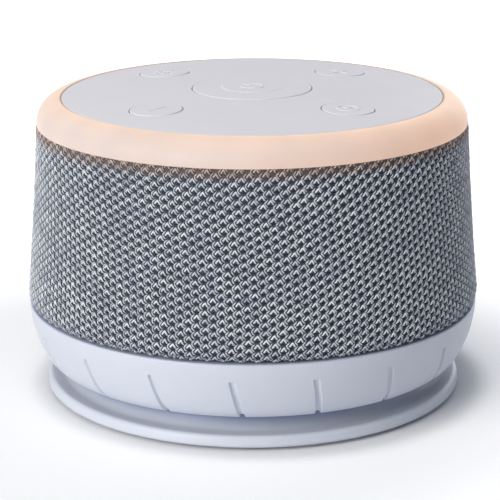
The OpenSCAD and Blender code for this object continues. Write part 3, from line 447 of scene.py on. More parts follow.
def diffuserPaint(name):
    # milky plastic lit from behind: strongest beside the cover, fading down the round, with a faint beat at
    # each lamp: glow = f(r) * (1 + 0.02 cos(lamps * angle))
    paint, shader = newPaint(name, srgb(*glow["milk"]), 0.5, Subsurface_Weight=0.25, Subsurface_Scale=0.004,
                             Specular_IOR_Level=0.25, Emission_Strength=glow["strength"])
    shader.inputs["Subsurface Radius"].default_value = (1.0, 0.6, 0.4)
    where = ownPlace(paint)
    axis = addNode(paint, "SeparateXYZ", {"Vector": where}).outputs
    radius = fromAxis(paint, axis)
    inner = glow["innerRadius"]
    outward = shift(paint, radius, 0, 1, inner * mm, glow["outerRadius"] * mm)
    angle = calc(paint, "ARCTAN2", axis["Y"], axis["X"])
    beat = calc(paint, "COSINE", calc(paint, "MULTIPLY", angle, float(glow["lamps"])))
    ramp = addNode(paint, "ValToRGB", {"Fac": outward})
    for stop, tone in zip(ramp.color_ramp.elements, (glow["near"], glow["far"])):
        stop.color = srgb(*tone)
    mottle = shift(paint, noise(paint, where, 18, 2), 0.95, 1.05)
    pulse = calc(paint, "MULTIPLY", shift(paint, beat, 0.98, 1.02, -1, 1), mottle)
    # painted shade: the edge towards the cover glows less, so the seam shows as a thin dark line
    near, far = glow["edgeFade"]
    seam = shift(paint, radius, glow["edgeGlow"], 1, (inner + near) * mm, (inner + far) * mm)
    pulse = calc(paint, "MULTIPLY", pulse, seam)
    lit = addNode(paint, "VectorMath", {0: ramp.outputs["Color"], "Scale": pulse}, operation="SCALE")
    wire(paint, shader.inputs["Emission Color"], lit.outputs["Vector"])
    cloud = shift(paint, noise(paint, where, 30, 3), 0, 0.4)
    milk = blend(paint, cloud, srgb(*glow["milk"]), srgb(*glow["milkCloud"]))
    wire(paint, shader.inputs["Base Color"], milk)
    bump(paint, shader, noise(paint, where, 0.4, 3), 0.008)
    return paint


# painted light and shade: "warmFrom" and "warmTo" are the heights between which the painted tint of the
# glowing ring and its brown shade come in
yarn = {"bright": (248, 251, 255), "dull": (180, 188, 206), "ground": (26, 28, 36),
        "warm": (222, 203, 190), "warmGround": (230, 196, 172), "warmFrom": 84.4, "warmTo": 87.0,
        "fibres": 9.0, "twist": 2.2, "floatDark": (56, 61, 75), "floatBright": (92, 98, 115),
        "well": (-0.04, -0.67), "wellEdge": (0.4, 1.0)}


def paintedRingGlowAndShade(paint, where, tone, tint):
    # painted light and shade: the last rows under the glowing ring are painted with its tint and a brown
    # shade
    height = addNode(paint, "SeparateXYZ", {"Vector": where}).outputs["Z"]
    warmth = shift(paint, height, 0, tint, yarn["warmFrom"] * mm, yarn["warmTo"] * mm)
    shaded = blend(paint, 1.0, tone, srgb(*yarn["warm"]), "MULTIPLY")
    return blend(paint, warmth, tone, blend(paint, 1 - tint, shaded, srgb(*yarn["warmGround"])))


def yarnPaint(name, bright, dull, depth=0.05):
    # plied yarn: fibres run round the strand as bands of u * twist + v, tone changes from strand to strand
    paint, shader = newPaint(name, srgb(*bright), 0.8, Sheen_Weight=0.03, Sheen_Roughness=0.5)
    place = addNode(paint, "TexCoord").outputs
    tint = addNode(paint, "Attribute", attribute_name="tint").outputs["Fac"]
    slanted = addNode(paint, "Mapping", {"Vector": place["UV"], "Rotation": (0, 0, 0.6),
                                         "Scale": (yarn["twist"], yarn["fibres"], 1.0)}).outputs["Vector"]
    fibre = addNode(paint, "TexNoise", {"Vector": slanted, "Scale": 1.0, "Detail": 3.0}).outputs["Fac"]
    tone = blend(paint, tint, srgb(*dull), srgb(*bright))
    tone = blend(paint, shift(paint, fibre, 0.35, 0), tone, srgb(*yarn["ground"]))
    # the top rows get the painted glow and shade of the ring above
    wire(paint, shader.inputs["Base Color"], paintedRingGlowAndShade(paint, place["Object"], tone, 1.0))
    bump(paint, shader, fibre, depth)
    return paint


def groundPaint(name):
    # the cloth's ground: grey floats with a dark well under every cell. With c columns and k rows as in the
    # strands' lattice, wells are where f = cos(pi c) cos(2 pi k) comes near 1
    paint, shader = newPaint(name, srgb(*yarn["ground"]), 0.95)
    where = ownPlace(paint)
    axis = addNode(paint, "SeparateXYZ", {"Vector": where}).outputs

    def work(kind, first, second=0.0):
        return calc(paint, kind, first, second)

    full = sleeveLength()
    angle = work("ARCTAN2", axis["Y"], axis["X"])
    s = work("SUBTRACT", work("MULTIPLY", axis["Z"], 1 / mm), sleeve["top"] - full)
    cube = work("MULTIPLY", work("MULTIPLY", s, s), s)
    linear, cubic = sleeve["lean"]
    lean = work("ADD", work("MULTIPLY", work("SUBTRACT", full, s), linear),
                work("MULTIPLY", work("SUBTRACT", full ** 3, cube), cubic))
    turn = work("SUBTRACT", angle, work("MULTIPLY", lean, 1 / sleeve["meanRadius"]))
    column = work("MULTIPLY", turn, sleeve["columns"] / (2 * math.pi))
    growth, step = sleeve["rowGrowth"], sleeve["rowStep"]
    row = work("LOGARITHM", work("ADD", work("MULTIPLY", s, growth / step), 1.0), math.e)
    row = work("MULTIPLY", row, 1 / growth)
    rise = work("MULTIPLY", turn, sleeve["rise"] / (2 * math.pi))
    wave = work("MULTIPLY", work("SINE", work("MULTIPLY", turn, 2.0)), sleeve["wave"] / step)
    row = work("SUBTRACT", work("SUBTRACT", row, rise), wave)
    across, along = yarn["well"]
    lattice = work("MULTIPLY",
                   work("COSINE", work("MULTIPLY", work("SUBTRACT", column, across), math.pi)),
                   work("COSINE", work("MULTIPLY", work("SUBTRACT", row, along), 2 * math.pi)))
    fibre = addNode(paint, "TexNoise", {"Vector": where, "Scale": 1800.0, "Detail": 2.0}).outputs["Fac"]
    floats = blend(paint, shift(paint, fibre, 0, 1), srgb(*yarn["floatDark"]), srgb(*yarn["floatBright"]))
    wells = shift(paint, lattice, 0, 1, *yarn["wellEdge"])
    tone = blend(paint, wells, floats, srgb(*yarn["ground"]))
    # the top rows get the painted glow and shade of the ring above
    wire(paint, shader.inputs["Base Color"], paintedRingGlowAndShade(paint, where, tone, 0.85))
    bump(paint, shader, fibre, 0.12)
    return paint


paints = {
    "cover_plastic": moulded("coverPlastic", srgb(231, 229, 234), 0.5, 0.3, 0.008, cloud=0.02, level=0.3),
    # the body's plastic is painted with the bluish shade of the gap and the seam
    "body_plastic": moulded("bodyPlastic", srgb(212, 217, 229), 0.46, 0.3, 0.008, cloud=0.02, shaded=True),
    "inner_plastic": moulded("innerPlastic", srgb(222, 222, 220), 0.5, cloud=0.05),
    "dark_plastic": moulded("darkPlastic", srgb(52, 54, 60), 0.55, cloud=0.2),
    "diffuser": diffuserPaint("diffuser"),
    "cloth": groundPaint("clothGround"),
    "foot_rubber": rubber("footRubber", srgb(54, 55, 60)),
    "steel": metal("zincSteel", srgb(196, 198, 202), 0.32),
    "motor_steel": metal("drawnSteel", srgb(150, 153, 158), 0.38, stretch=(1, 1, 0.08)),
    "bronze": metal("sinteredBronze", srgb(190, 140, 82), 0.45, stretch=(1, 1, 1)),
    "magnet": rubber("ferrite", srgb(40, 41, 44), 0.6, 0.3),
    "copper": windings("enamelledCopper"),
    "board_green": circuitBoard("circuitBoard"),
    "lamp": lampLens("lampLens"),
    "lead_red": lead("redLead", srgb(176, 34, 30)),
    "lead_black": lead("blackLead", srgb(30, 30, 32)),
}
strandPaint = yarnPaint("brightYarn", yarn["bright"], yarn["dull"])
for part in frame["record"]["subparts"]:
    for slot in frame["nodes"][part["node"]].material_slots:
        slot.material = paints[part["material_slot"]]
print("materials made:", len(bpy.data.materials))


# foot pad and base disc

def holedPlate(rows, hole, inner, outer, count, arcs=(40, 18, 24), start=0):
    # a plate ring from radius inner to outer with count holes, made in equal sectors about the holes. Each
    # sector is a grid: columns run anticlockwise round its border b(s), and a row (f, q, height) lies at
    # p = (1 - f) b(s) + f (h + q (cos a, sin a)), a being the direction of b(s) from the hole's centre h
    half = np.pi / count
    nOut, nSide, nIn = arcs
    fan, back = np.linspace(-half, half, nOut + 1), np.linspace(half, -half, nIn + 1)
    side = np.linspace(outer, inner, nSide + 1)
    border = np.vstack([
        outer * np.column_stack([np.cos(fan), np.sin(fan)])[:-1],
        side[:-1, None] * np.array([[np.cos(half), np.sin(half)]]),
        inner * np.column_stack([np.cos(back), np.sin(back)])[:-1],
        side[::-1][:-1, None] * np.array([[np.cos(half), -np.sin(half)]])])
    centre = np.array([hole, 0])
    a = np.arctan2(border[:, 1], border[:, 0] - hole)
    ring = np.column_stack([np.cos(a), np.sin(a)])
    f = np.array([row[0] for row in rows])[:, None, None]
    q = np.array([row[1] for row in rows])[:, None, None]
    p = (1 - f) * border + f * (centre + q * ring)
    r = np.hypot(p[..., 0], p[..., 1])
    z = np.stack([row[2](r[k]) if callable(row[2]) else np.full(len(border), float(row[2]))
                  for k, row in enumerate(rows)])
    faces = gridFaces(len(rows), len(border), closeRows=False)
    sectors = []
    for k in range(count):
        t = start + 2 * np.pi * k / count
        x, y = p[..., 0], p[..., 1]
        turnedSector = np.stack([x * np.cos(t) - y * np.sin(t), x * np.sin(t) + y * np.cos(t), z], axis=-1)
        sectors.append((turnedSector.reshape(-1, 3), faces))
    return joined(*sectors)


pad = {"inner": 44.0, "outer": 62.0, "top": 1.9, "edge": 0.35, "ribs": (47.0, 50.0, 53.0, 56.0, 59.0),
       "ribWidth": 1.0, "ribDepth": 0.35}


def footPad():
    # turned ring with shallow grooves in its underside
    low = []
    for r in pad["ribs"]:
        w, d = pad["ribWidth"] / 2, pad["ribDepth"]
        low += [(r - w, 0, 0.1), (r - w + 0.15, d, 0.1), (r + w - 0.15, d, 0.1), (r + w, 0, 0.1)]
    outline = [(pad["inner"], 0, pad["edge"]), *low, (pad["outer"], 0, pad["edge"]),
               (pad["outer"], pad["top"], 0.1), (pad["inner"], pad["top"], 0.1)]
    points, quads = turned(rounded(outline, 3, 0.05), 160)
    addPiece("rubberFoot", points, quads, slot="foot_rubber", stands=["foot_pad"])


# "under" is where the flat underside ends, "bulge" two points of the rim between its rounds
disc = {"bottom": 1.0, "top": 4.8, "lowCentre": (67.8, 2.0), "lowRound": 1.0, "topCentre": (67.0, 3.3),
        "topRound": 1.5, "under": 66.6, "bulge": ((68.76, 2.3), (68.53, 3.3)), "cove": 3.9,
        "coveInner": 60.15, "coveWall": 0.5, "grooveInner": 43.85, "grooveOuter": 62.15, "grooveTop": 1.9,
        "screwRing": 36.0, "headRadius": 2.45, "headTop": 2.7, "holeRadius": 1.28, "plate": 28.0}


def baseDisc():
    # rounded rim turned about Z, the middle as a plate with four stepped screw holes, poles at both centres;
    # a hollow cove rises from the top to a thin collar around the ring's skirt
    low, top, head, hole = disc["bottom"], disc["top"], disc["headRadius"], disc["holeRadius"]
    rows = [(0, hole, top), (0.6, hole, top), (0.9, hole + 0.3, top), (1, hole + 0.2, top),
            (1, hole, top - 0.2), (1, hole, disc["headTop"]), (1, head, disc["headTop"]),
            (1, head, low + 0.25), (1, head + 0.25, low), (1, head + 0.6, low), (0.9, head + 0.6, low),
            (0.5, head, low), (0, head, low)]
    near, far, ceiling = disc["grooveInner"], disc["grooveOuter"], disc["grooveTop"]
    plate = holedPlate(rows, disc["screwRing"], disc["plate"], near, 4, (40, 14, 24), np.pi / 4)
    inner, wall, bend = disc["coveInner"], disc["coveInner"] + disc["coveWall"], disc["cove"]
    cove = np.vstack([arc((wall + bend, top + bend), bend, -90, -180, 14), [(wall, top + bend + 0.15)],
                      [(wall - 0.12, top + bend + 0.3), (inner + 0.12, top + bend + 0.3),
                       (inner, top + bend + 0.15), (inner, top + 0.15), (inner - 0.15, top)]])
    rim = np.vstack([
        [(near, low), (near, ceiling), (far, ceiling), (far, low + 0.2), (far + 0.2, low), (far + 0.5, low)],
        [(disc["under"], low)], arc(disc["lowCentre"], disc["lowRound"], -90, 0, 9), disc["bulge"],
        arc(disc["topCentre"], disc["topRound"], 10, 90, 12), [(66.8, top), (66, top)], cove,
        [(57, top), (near, top)]])
    middle = skin([(disc["plate"], top), (20, top), (8, top), (0, top)], 96)
    under = skin([(0, low), (8, low), (20, low), (disc["plate"], low)], 96)
    points, quads, tris = weld(*joined(plate, skin(rim, 160), middle, under))
    addPiece("standDisc", points, quads, tris, stands=["base_disc"])


footPad()
baseDisc()
print("foot pad and base disc made")


# tone ring

# "steep" and "overLip" place the two handles of the side's curve: how far down from the top, as a part of the
# height, and how far out from the lip
ring = {"radius": 74.0, "top": 29.8, "bottom": 10.3, "lip": 65.7, "wall": 2.2, "edge": 0.5, "web": 2.0,
        "skirtInner": 57.8, "skirtOuter": 59.8, "skirtBottom": 5.1, "ports": 6, "portAngle": 28.0,
        "portBottom": 12.0, "portTop": 25.0, "grooves": 18, "grooveWidth": 1.85, "grooveDepth": 0.85,
        "grooveTop": 24.0, "lean": 10.6, "lipRound": 0.28, "steep": 0.39, "overLip": 4.1,
        "lugInner": 62.1, "lugWidth": 2.0, "lugHeight": 1.8, "lugAngle": 3.4, "lugAt": 255.0}


def stopLug():
    # the outline of a small block carried round an arc, its ends drawn together to their middle
    low, high = ring["top"] - 0.4, ring["top"] + ring["lugHeight"]
    near, far = ring["lugInner"], ring["lugInner"] + ring["lugWidth"]
    outline = rounded([(near, low, 0), (far, low, 0), (far, high, 0.3), (near, high, 0.3)], 3, 0.05)
    half = ring["lugAngle"] / 2
    a = np.radians(ring["lugAt"] + half * np.array([-1, -1, -0.98, -0.5, 0, 0.5, 0.98, 1, 1]))
    size = np.array([0, 0.94, 1, 1, 1, 1, 1, 0.94, 0])
    middle = np.array([(near + far) / 2, (low + high) / 2])
    r = middle[0] + (outline[:, :1] - middle[0]) * size
    z = middle[1] + (outline[:, 1:] - middle[1]) * size
    return polar(r, a, z), gridFaces(len(outline), len(a), closeColumns=False)


def ringSide(t):
    # the side is a cubic curve B(t) from the top edge to the lip; gives its points and their inward normals
    t = np.asarray(t)[:, None]
    top, bottom, lip = ring["top"], ring["bottom"], ring["lip"]
    control = np.array([[ring["radius"], top - ring["edge"]],
                        [ring["radius"], top - (top - bottom) * ring["steep"]],
                        [lip + ring["overLip"], bottom], [lip, bottom]])
    spot = ((1 - t) ** 3 * control[0] + 3 * t * (1 - t) ** 2 * control[1]
            + 3 * t * t * (1 - t) * control[2] + t ** 3 * control[3])
    way = ((1 - t) ** 2 * (control[1] - control[0]) + 2 * t * (1 - t) * (control[2] - control[1])
           + t * t * (control[3] - control[2]))
    way /= np.linalg.norm(way, axis=1)[:, None]
    return spot, np.column_stack([way[:, 1], -way[:, 0]])


# a groove's depth as a part of the whole: "fade" at the heights "above" its top, and "deep" at the places
# "out" from its edge, which is half a groove's width from its middle line. "between" is in degrees from there
groove = {"above": (-0.30, -0.14, -0.06, -0.03, 0.0, 0.04, 0.12),
          "fade": (1.0, 0.94, 0.75, 0.35, 0.12, 0.03, 0.0),
          "out": (-0.925, -0.66, -0.42, -0.31, -0.14, -0.03, 0.03, 0.08, 0.14, 0.355),
          "deep": (1.0, 1.0, 1.0, 0.92, 0.55, 0.25, 0.12, 0.04, 0.0, 0.0),
          "between": (2, 4, 6, 8, 10, 12, 14, 16, 18)}


def ringSteps():
    # the values of t at the side's points: close together about the grooves' tops, even below them
    table = np.linspace(0, 1, 4001)
    spots = ringSide(table)[0]
    heights = ring["grooveTop"] + np.concatenate([[-0.6], groove["above"], [0.35]])
    heights = np.concatenate([np.linspace(ring["top"] - ring["edge"], ring["grooveTop"] + 0.9, 7), heights])
    high = np.interp(-heights, -spots[:, 1], table)
    end = np.interp(-(ring["lip"] + ring["lipRound"]), -spots[:, 0], table)
    return np.unique(np.concatenate([high, np.linspace(high.max(), end, 26)[1:]]))[::-1]


def ringOutline():
    # anticlockwise from the lip's face up the side, over the top, round the skirt and back along the inside.
    # Also how far a full groove pushes each point, whether it leans, and the rows at the ports' edges
    top, bottom, lip, edge, f = ring["top"], ring["bottom"], ring["lip"], ring["edge"], ring["lipRound"]
    outer, inward = ringSide(ringSteps())
    # lip: a small round from the side's end into the face, which a groove cuts upwards
    bend = arc((lip + f, outer[0, 1] + f), f, -110, -180, 5)
    face = np.array([[lip, bottom + h] for h in (0.8, 1.1, 1.4, 1.8)])
    inside, normals = ringSide(np.linspace(0.02, 0.985, 16))
    inside = inside + ring["wall"] * normals
    web = top - ring["web"]
    inside = inside[inside[:, 1] < web - 0.3]
    a, b, low = ring["skirtInner"], ring["skirtOuter"], ring["skirtBottom"]
    portLow, portTop = ring["portBottom"], ring["portTop"]
    flat = np.vstack([
        arc((ring["radius"] - edge, top - edge), edge, 0, 90, 7)[1:],
        [(73.3, top), (72, top), (66, top), (60, top), (a + 0.35, top)],
        arc((a + 0.2, top - 0.2), 0.2, 90, 180, 4),
        [(a, top - 0.4), (a, portTop + 0.15), (a, portTop), (a, portLow), (a, portLow - 0.15),
         (a, low + 0.4)],
        arc((a + 0.2, low + 0.2), 0.2, 180, 270, 4), arc((b - 0.2, low + 0.2), 0.2, 270, 360, 4),
        [(b, low + 0.4), (b, portLow - 0.15), (b, portLow), (b, portTop), (b, portTop + 0.15),
         (b, web - 0.1), (b + 0.1, web), (62, web), (68, web)],
        [(inside[0, 0] + 0.02, web)]])
    profile = np.vstack([face[::-1], bend[::-1], outer, flat, inside, [(lip, inside[-1, 1])]])
    first, second = len(face), len(face) + len(bend)
    third = second + len(outer)
    push = np.zeros((len(profile), 2))
    push[:first, 1] = np.array([0.0, 0.25, 0.5, 0.7])
    push[first:second, 1] = 1.0
    level = np.interp(outer[:, 1] - ring["grooveTop"], groove["above"], groove["fade"])
    push[second:third] = inward * level[:, None]
    leaning = np.ones(len(profile))
    leaning[third:third + len(flat)] = 0
    rowOf = {(round(r, 3), round(z, 3)): third + k for k, (r, z) in enumerate(flat)}
    portRows = [rowOf[place] for place in ((a, portTop), (a, portLow), (b, portLow), (b, portTop))]
    return profile, push, leaning, portRows


def grooveGrid(profile, push, leaning):
    # angle, radius and height of every point. A point moves along its push by depth * f(z) * g(w), w being
    # its distance across the groove's middle line, whose angle grows on the way down by
    # (grooveTop - z) tan(lean) / r. All columns lean with the grooves below their tops
    out = ring["grooveWidth"] / 2 + np.array(groove["out"])
    out[0] = 0
    w = np.concatenate([-out[:0:-1], out])
    between, slope = np.radians(groove["between"]), math.radians(ring["lean"])
    r = np.clip(profile[:, 0], ring["lip"], ring["radius"])[:, None]
    cell = np.hstack([w / math.cos(slope) / r, np.tile(between, (len(profile), 1))])
    pitch = 2 * np.pi / ring["grooves"]
    angle = np.hstack([cell + pitch * k for k in range(ring["grooves"])])
    depth = np.concatenate([groove["deep"][:0:-1], groove["deep"], np.zeros(len(between))])
    depth = np.tile(depth, ring["grooves"]) * ring["grooveDepth"]
    drop = np.clip(ring["grooveTop"] - profile[:, 1], 0, None) * leaning
    angle += (drop * math.tan(slope))[:, None] / r
    return angle, profile[:, :1] + push[:, :1] * depth, profile[:, 1:] + push[:, 1:] * depth


def openPorts(quads, angle, portRows):
    # quads between the marked heights are left out and the two skins are joined round each hole
    inTop, inLow, outLow, outTop = portRows
    rows, columns = angle.shape
    mid = np.degrees(angle[inTop] + np.roll(angle[inTop], -1)) / 2
    mid[-1] = np.degrees(angle[inTop][-1] + angle[inTop][0] + 2 * np.pi) / 2
    apart = 360 / ring["ports"]
    off = (mid + apart / 2) % apart - apart / 2
    openColumn = np.abs(off) < ring["portAngle"] / 2 - 1e-6
    keep = np.ones((rows, columns), bool)
    keep[inTop, openColumn] = False
    keep[outLow, openColumn] = False
    j = np.flatnonzero(openColumn)
    k = (j + 1) % columns
    left, right = j[~openColumn[j - 1]], k[~openColumn[k]]

    def wall(*places):
        # quads from the row and column of each corner
        return np.column_stack([row * columns + column for row, column in places])

    return np.vstack([quads.reshape(rows, columns, 4)[keep],
                      wall((inLow, j), (outLow, j), (outLow, k), (inLow, k)),
                      wall((inTop, k), (outTop, k), (outTop, j), (inTop, j)),
                      wall((inLow, left), (inTop, left), (outTop, left), (outLow, left)),
                      wall((inLow, right), (outLow, right), (outTop, right), (inTop, right))])


def toneRing():
    profile, push, leaning, portRows = ringOutline()
    angle, r, z = grooveGrid(profile, push, leaning)
    quads = openPorts(gridFaces(*angle.shape), angle, portRows)
    points, quads = joined((polar(r, angle, z), quads), stopLug())
    addPiece("gripRing", points, quads, body="tone_ring", stands=["tone_ring"], sharp=50)


toneRing()
print("tone ring made")


# top cover, light ring and buttons

cover = {"thickness": 2.2, "edgeRound": 0.4, "holeRound": 0.22, "keyRing": 42.0, "keyHole": 8.5,
         "powerHole": 19.6, "wall": 1.5, "innerPlate": 22.6, "outerPlate": 60.4, "skirtOuter": 58.7,
         "skirtInner": 57.2, "skirtLow": 91.0, "skirtSunk": 1.2, "bossRing": 45.0, "bossRadius": 3.0,
         "bossLow": 81.0, "bossSunk": 1.1, "pilot": 1.28, "pilotDepth": 6.5}
cover["collar"] = float(domeHeight(cover["keyRing"] + cover["keyHole"] + cover["wall"])) - 4.2


def dropped(depth):
    return lambda r: domeHeight(r) - depth


def holeRows(radius):
    # from the border over the top to the hole's rounded rim, down its wall, under the collar and back to the
    # border along the underside; the rim falls by e (1 - cos a) while it closes in by e sin a
    e, wall, low = cover["holeRound"], cover["wall"], cover["collar"]
    a = np.radians([0, 18, 36, 54, 72, 90])
    rim = [(1, radius + e - e * math.sin(v), dropped(e - e * math.cos(v))) for v in a]
    top = [(f, radius + e + 0.15, dropped(0)) for f in (0, 0.25, 0.5, 0.72, 0.88, 0.97, 1)]
    inner = [(1, radius, dropped(e + 0.3)), (1, radius, dropped(1.6)), (1, radius, low + 0.1)]
    collar = [(1, radius + 0.1, low), (1, radius + wall - 0.1, low), (1, radius + wall, low + 0.1),
              (1, radius + wall, dropped(cover["thickness"] + 0.05))]
    under = [(f, radius + wall, dropped(cover["thickness"])) for f in (1, 0.9, 0.5, 0)]
    return top + rim + inner + collar + under


def topCover():
    t, e = cover["thickness"], cover["edgeRound"]
    inner, outer, edge = cover["innerPlate"], cover["outerPlate"], dome["edge"]
    keys = holedPlate(holeRows(cover["keyHole"]), cover["keyRing"], inner, outer, 4)
    # power hole: the same rows turned about the middle
    centre = []
    for f, q, height in holeRows(cover["powerHole"]):
        r = (1 - f) * inner + f * q
        centre.append((r, float(height(r)) if callable(height) else height))
    # rim: over the edge, which falls by e (1 - cos a) as it goes out by e sin a, then under it
    a = np.radians([90, 72, 54, 36, 18, 0])
    fall = [(edge - e + e * math.sin(v), domeHeight(edge - e + e * math.sin(v)) - e + e * math.cos(v))
            for v in a]
    under = domeHeight(edge) - t
    rim = [(outer, domeHeight(outer) - t), (edge - 0.2, under), (edge, under + 0.1),
           (edge, domeHeight(edge) - 0.8), *fall, (edge - e - 0.15, domeHeight(edge - e - 0.15)),
           (outer, domeHeight(outer))]
    near, far = cover["skirtInner"], cover["skirtOuter"]
    skirt = rounded([(near, cover["skirtLow"], 0.2), (far, cover["skirtLow"], 0.2),
                     (far, domeHeight(far) - cover["skirtSunk"], 0),
                     (near, domeHeight(near) - cover["skirtSunk"], 0)], 2, 0.05)
    # a boss runs from the pilot hole's blind end outwards and up, so its outline stays anticlockwise
    low, blind, width = cover["bossLow"], cover["bossLow"] + cover["pilotDepth"], cover["bossRadius"]
    high = domeHeight(cover["bossRing"]) - cover["bossSunk"]
    boss = [(0, blind, 0), (cover["pilot"], blind, 0), (cover["pilot"], low, 0.1), (width, low, 0.15),
            (width, high, 0), (0, high, 0)]
    bossPoints, bossQuads = turned(rounded(boss, 2, 0.05), 28)
    parts = [keys, skin(centre, 96), skin(rim, 160), turned(skirt, 120)]
    for k in range(4):
        spot = np.radians(45 + 90 * k)
        move = cover["bossRing"] * np.array([math.cos(spot), math.sin(spot), 0])
        parts.append((bossPoints + move, bossQuads))
    points, quads, tris = weld(*joined(*parts))
    addPiece("domedCover", points, quads, tris, slot="cover_plastic", stands=["top_cover"], sharp=35)


light = {"centre": (62.15, 89.1), "round": 7.75, "foot": 88.6, "hollow": 5.35, "inner": 62.0,
         "lipInner": 59.0, "lipTop": 94.6, "lipLow": 93.2}


def lightRing():
    # quarter round c + R (cos a, sin a) outside, c + (R - wall) (cos a, sin a) inside, a lip below the cover
    c, low, top = light["centre"], light["foot"], light["centre"][1] + light["round"]
    bend = math.degrees(math.asin((light["lipLow"] - c[1]) / light["hollow"]))
    outline = np.vstack([
        [(c[0] + light["hollow"], low, 0), (c[0] + light["round"], low, 0.12)],
        corners(arc(c, light["round"], 0, 88.5, 34)), [(light["inner"], top, 0.12)],
        [(light["inner"], light["lipTop"], 0), (light["lipInner"], light["lipTop"], 0.2),
         (light["lipInner"], light["lipLow"], 0.2)],
        corners(arc(c, light["hollow"], bend, 0, 14))])
    points, quads = turned(rounded(outline, 3, 0.08), 288)
    addPiece("glowRing", points, quads, slot="diffuser", stands=["light_ring"], sharp=50)


# "discAt" and "discRise" are the places and heights of the steps at the edge of the power key's raised disc
key = {"proud": 0.14, "edge": 0.3, "wall": 1.5, "flangeWidth": 1.3, "flangeHeight": 1.0, "cap": 2.0,
       "plunger": 2.2, "plungerLow": 90.6, "powerRadius": 19.3, "powerDisc": 9.9, "smallRadius": 8.2,
       "discAt": (-0.5, -0.36, -0.28, -0.2, -0.08, 0.02, 0.1, 0.25),
       "discRise": (1, 1, 0.97, 0.85, 0.5, 0.15, 0.03, 0), "relief": 0.2, "stroke": 0.8}
key["flangeLow"] = cover["collar"] - 0.3 - key["flangeHeight"]


def keyTop(x, y):
    # height of a key's face above any point of the plan
    return domeHeight(np.hypot(x, y)) + key["proud"]


def keyShell(cx, cy, radius, columns, disc=0.0):
    # turned about the key's own axis; the face follows the dome, its edge is a quarter round
    #   q = R - e (1 - sin a), fall = e (1 - cos a), and the raised disc of the power key is a smooth step
    e = key["edge"]
    a = np.radians([0, 15, 30, 45, 60, 75, 90])
    face = [0, 2, 4, 6, radius - e - 0.6, radius - e - 0.15]
    lift = np.zeros(len(face))
    if disc:
        face = [0, 3, 6, 8.5, *(disc + v for v in key["discAt"]), 12, 15, 17.5, radius - e - 0.6,
                radius - e - 0.15]
        lift = key["relief"] * np.array([1, 1, 1, 1, *key["discRise"], 0, 0, 0, 0, 0])
    low, brim = key["flangeLow"], key["flangeLow"] + key["flangeHeight"]
    under = float(domeHeight(math.hypot(cx, cy) + radius)) - key["cap"]
    rows = [(q, v, None) for q, v in zip(face, lift)]
    rows += [(radius - e + e * math.sin(v), e * math.cos(v) - e, None) for v in a]
    rim, inner = radius + key["flangeWidth"], radius - key["wall"]
    plunger, foot = key["plunger"], key["plungerLow"]
    rows += [(radius, -e - 0.25, None), (radius, -1.6, None), (radius, 0, brim + 0.1),
             (radius + 0.1, 0, brim), (rim - 0.1, 0, brim), (rim, 0, brim - 0.1),
             (rim, 0, low + 0.1), (rim - 0.1, 0, low),
             (inner + 0.1, 0, low), (inner, 0, low + 0.1), (inner, 0, under - 0.1),
             (inner - 0.1, 0, under),
             (plunger + 0.2, 0, under), (plunger, 0, under - 0.2), (plunger, 0, foot + 0.25),
             (plunger - 0.25, 0, foot), (0, 0, foot)]
    turns = np.arange(columns) * 2 * np.pi / columns
    q = np.array([row[0] for row in rows])[:, None]
    x, y = cx + q * np.cos(turns), cy + q * np.sin(turns)
    z = keyTop(x, y) + np.array([row[1] for row in rows])[:, None]
    for k, row in enumerate(rows):
        if row[2] is not None:
            z[k] = row[2]
    points = np.stack([x, y, z], axis=-1).reshape(-1, 3)
    return points, gridFaces(len(rows), columns, closeRows=False)[:, ::-1]


def ridge(path, base, closed=False, width=None, height=None):
    # a low rounded bar along a path on a key: at each point it spans +-w across and rises to
    # h (1 - |u|^4); w and h shrink as sqrt(1 - t^2) over the last half width of an open bar
    width, height = width or key["stroke"] / 2, height or key["relief"]
    path = np.asarray(path, float)
    if not closed:
        length = np.concatenate([[0], np.cumsum(np.linalg.norm(np.diff(path, axis=0), axis=1))])
        ends = width * np.array([0.0, 0.04, 0.15, 0.35, 0.65, 1.0])
        even = np.linspace(0, length[-1], max(3, int(length[-1] / 0.6) + 1))
        t = np.unique(np.concatenate([even, ends, length[-1] - ends]))
        path = np.column_stack([np.interp(t, length, path[:, k]) for k in (0, 1)])
        end = np.clip(np.minimum(t, length[-1] - t) / width, 0, 1)
        shrink = np.sqrt(np.clip(1 - (1 - end) ** 2, 0, 1))
        way = np.gradient(path, axis=0)
    else:
        shrink = np.ones(len(path))
        way = np.roll(path, -1, axis=0) - np.roll(path, 1, axis=0)
    way /= np.linalg.norm(way, axis=1)[:, None]
    across = np.column_stack([-way[:, 1], way[:, 0]])
    u = np.array([-1.0, -1.0, -0.93, -0.75, -0.4, 0, 0.4, 0.75, 0.93, 1.0, 1.0])
    rise = np.array([-0.1, 0.0, 0.45, 0.82, 0.98, 1.0, 0.98, 0.82, 0.45, 0.0, -0.1])
    spread = shrink[:, None] * width * u
    x = path[:, :1] + across[:, :1] * spread
    y = path[:, 1:] + across[:, 1:] * spread
    up = np.where(rise > 0, rise * height * np.sqrt(shrink)[:, None], -0.1)
    z = keyTop(x, y) + base + up
    points = np.stack([x, y, z], axis=-1).reshape(-1, 3)
    return points, gridFaces(len(path), len(u), closeRows=closed)[:, ::-1]


def circlePath(cx, cy, radius, start=0, end=360, count=48):
    closed = end - start >= 360
    return arc((cx, cy), radius, start, end, count + 1)[:-1 if closed else None]


def bar(cx, cy, angle, start, end):
    a = math.radians(angle)
    return [(cx + reach * math.cos(a), cy + reach * math.sin(a)) for reach in (start, end)]


# the raised signs, each in mm from its key's middle
sign = {"powerArc": 3.6, "powerGap": 1.3, "powerBar": (0.8, 4.0), "cross": 3.9, "clock": 3.4,
        "hands": (2.2, 1.7), "sun": 1.6, "rays": (2.8, 4.2)}


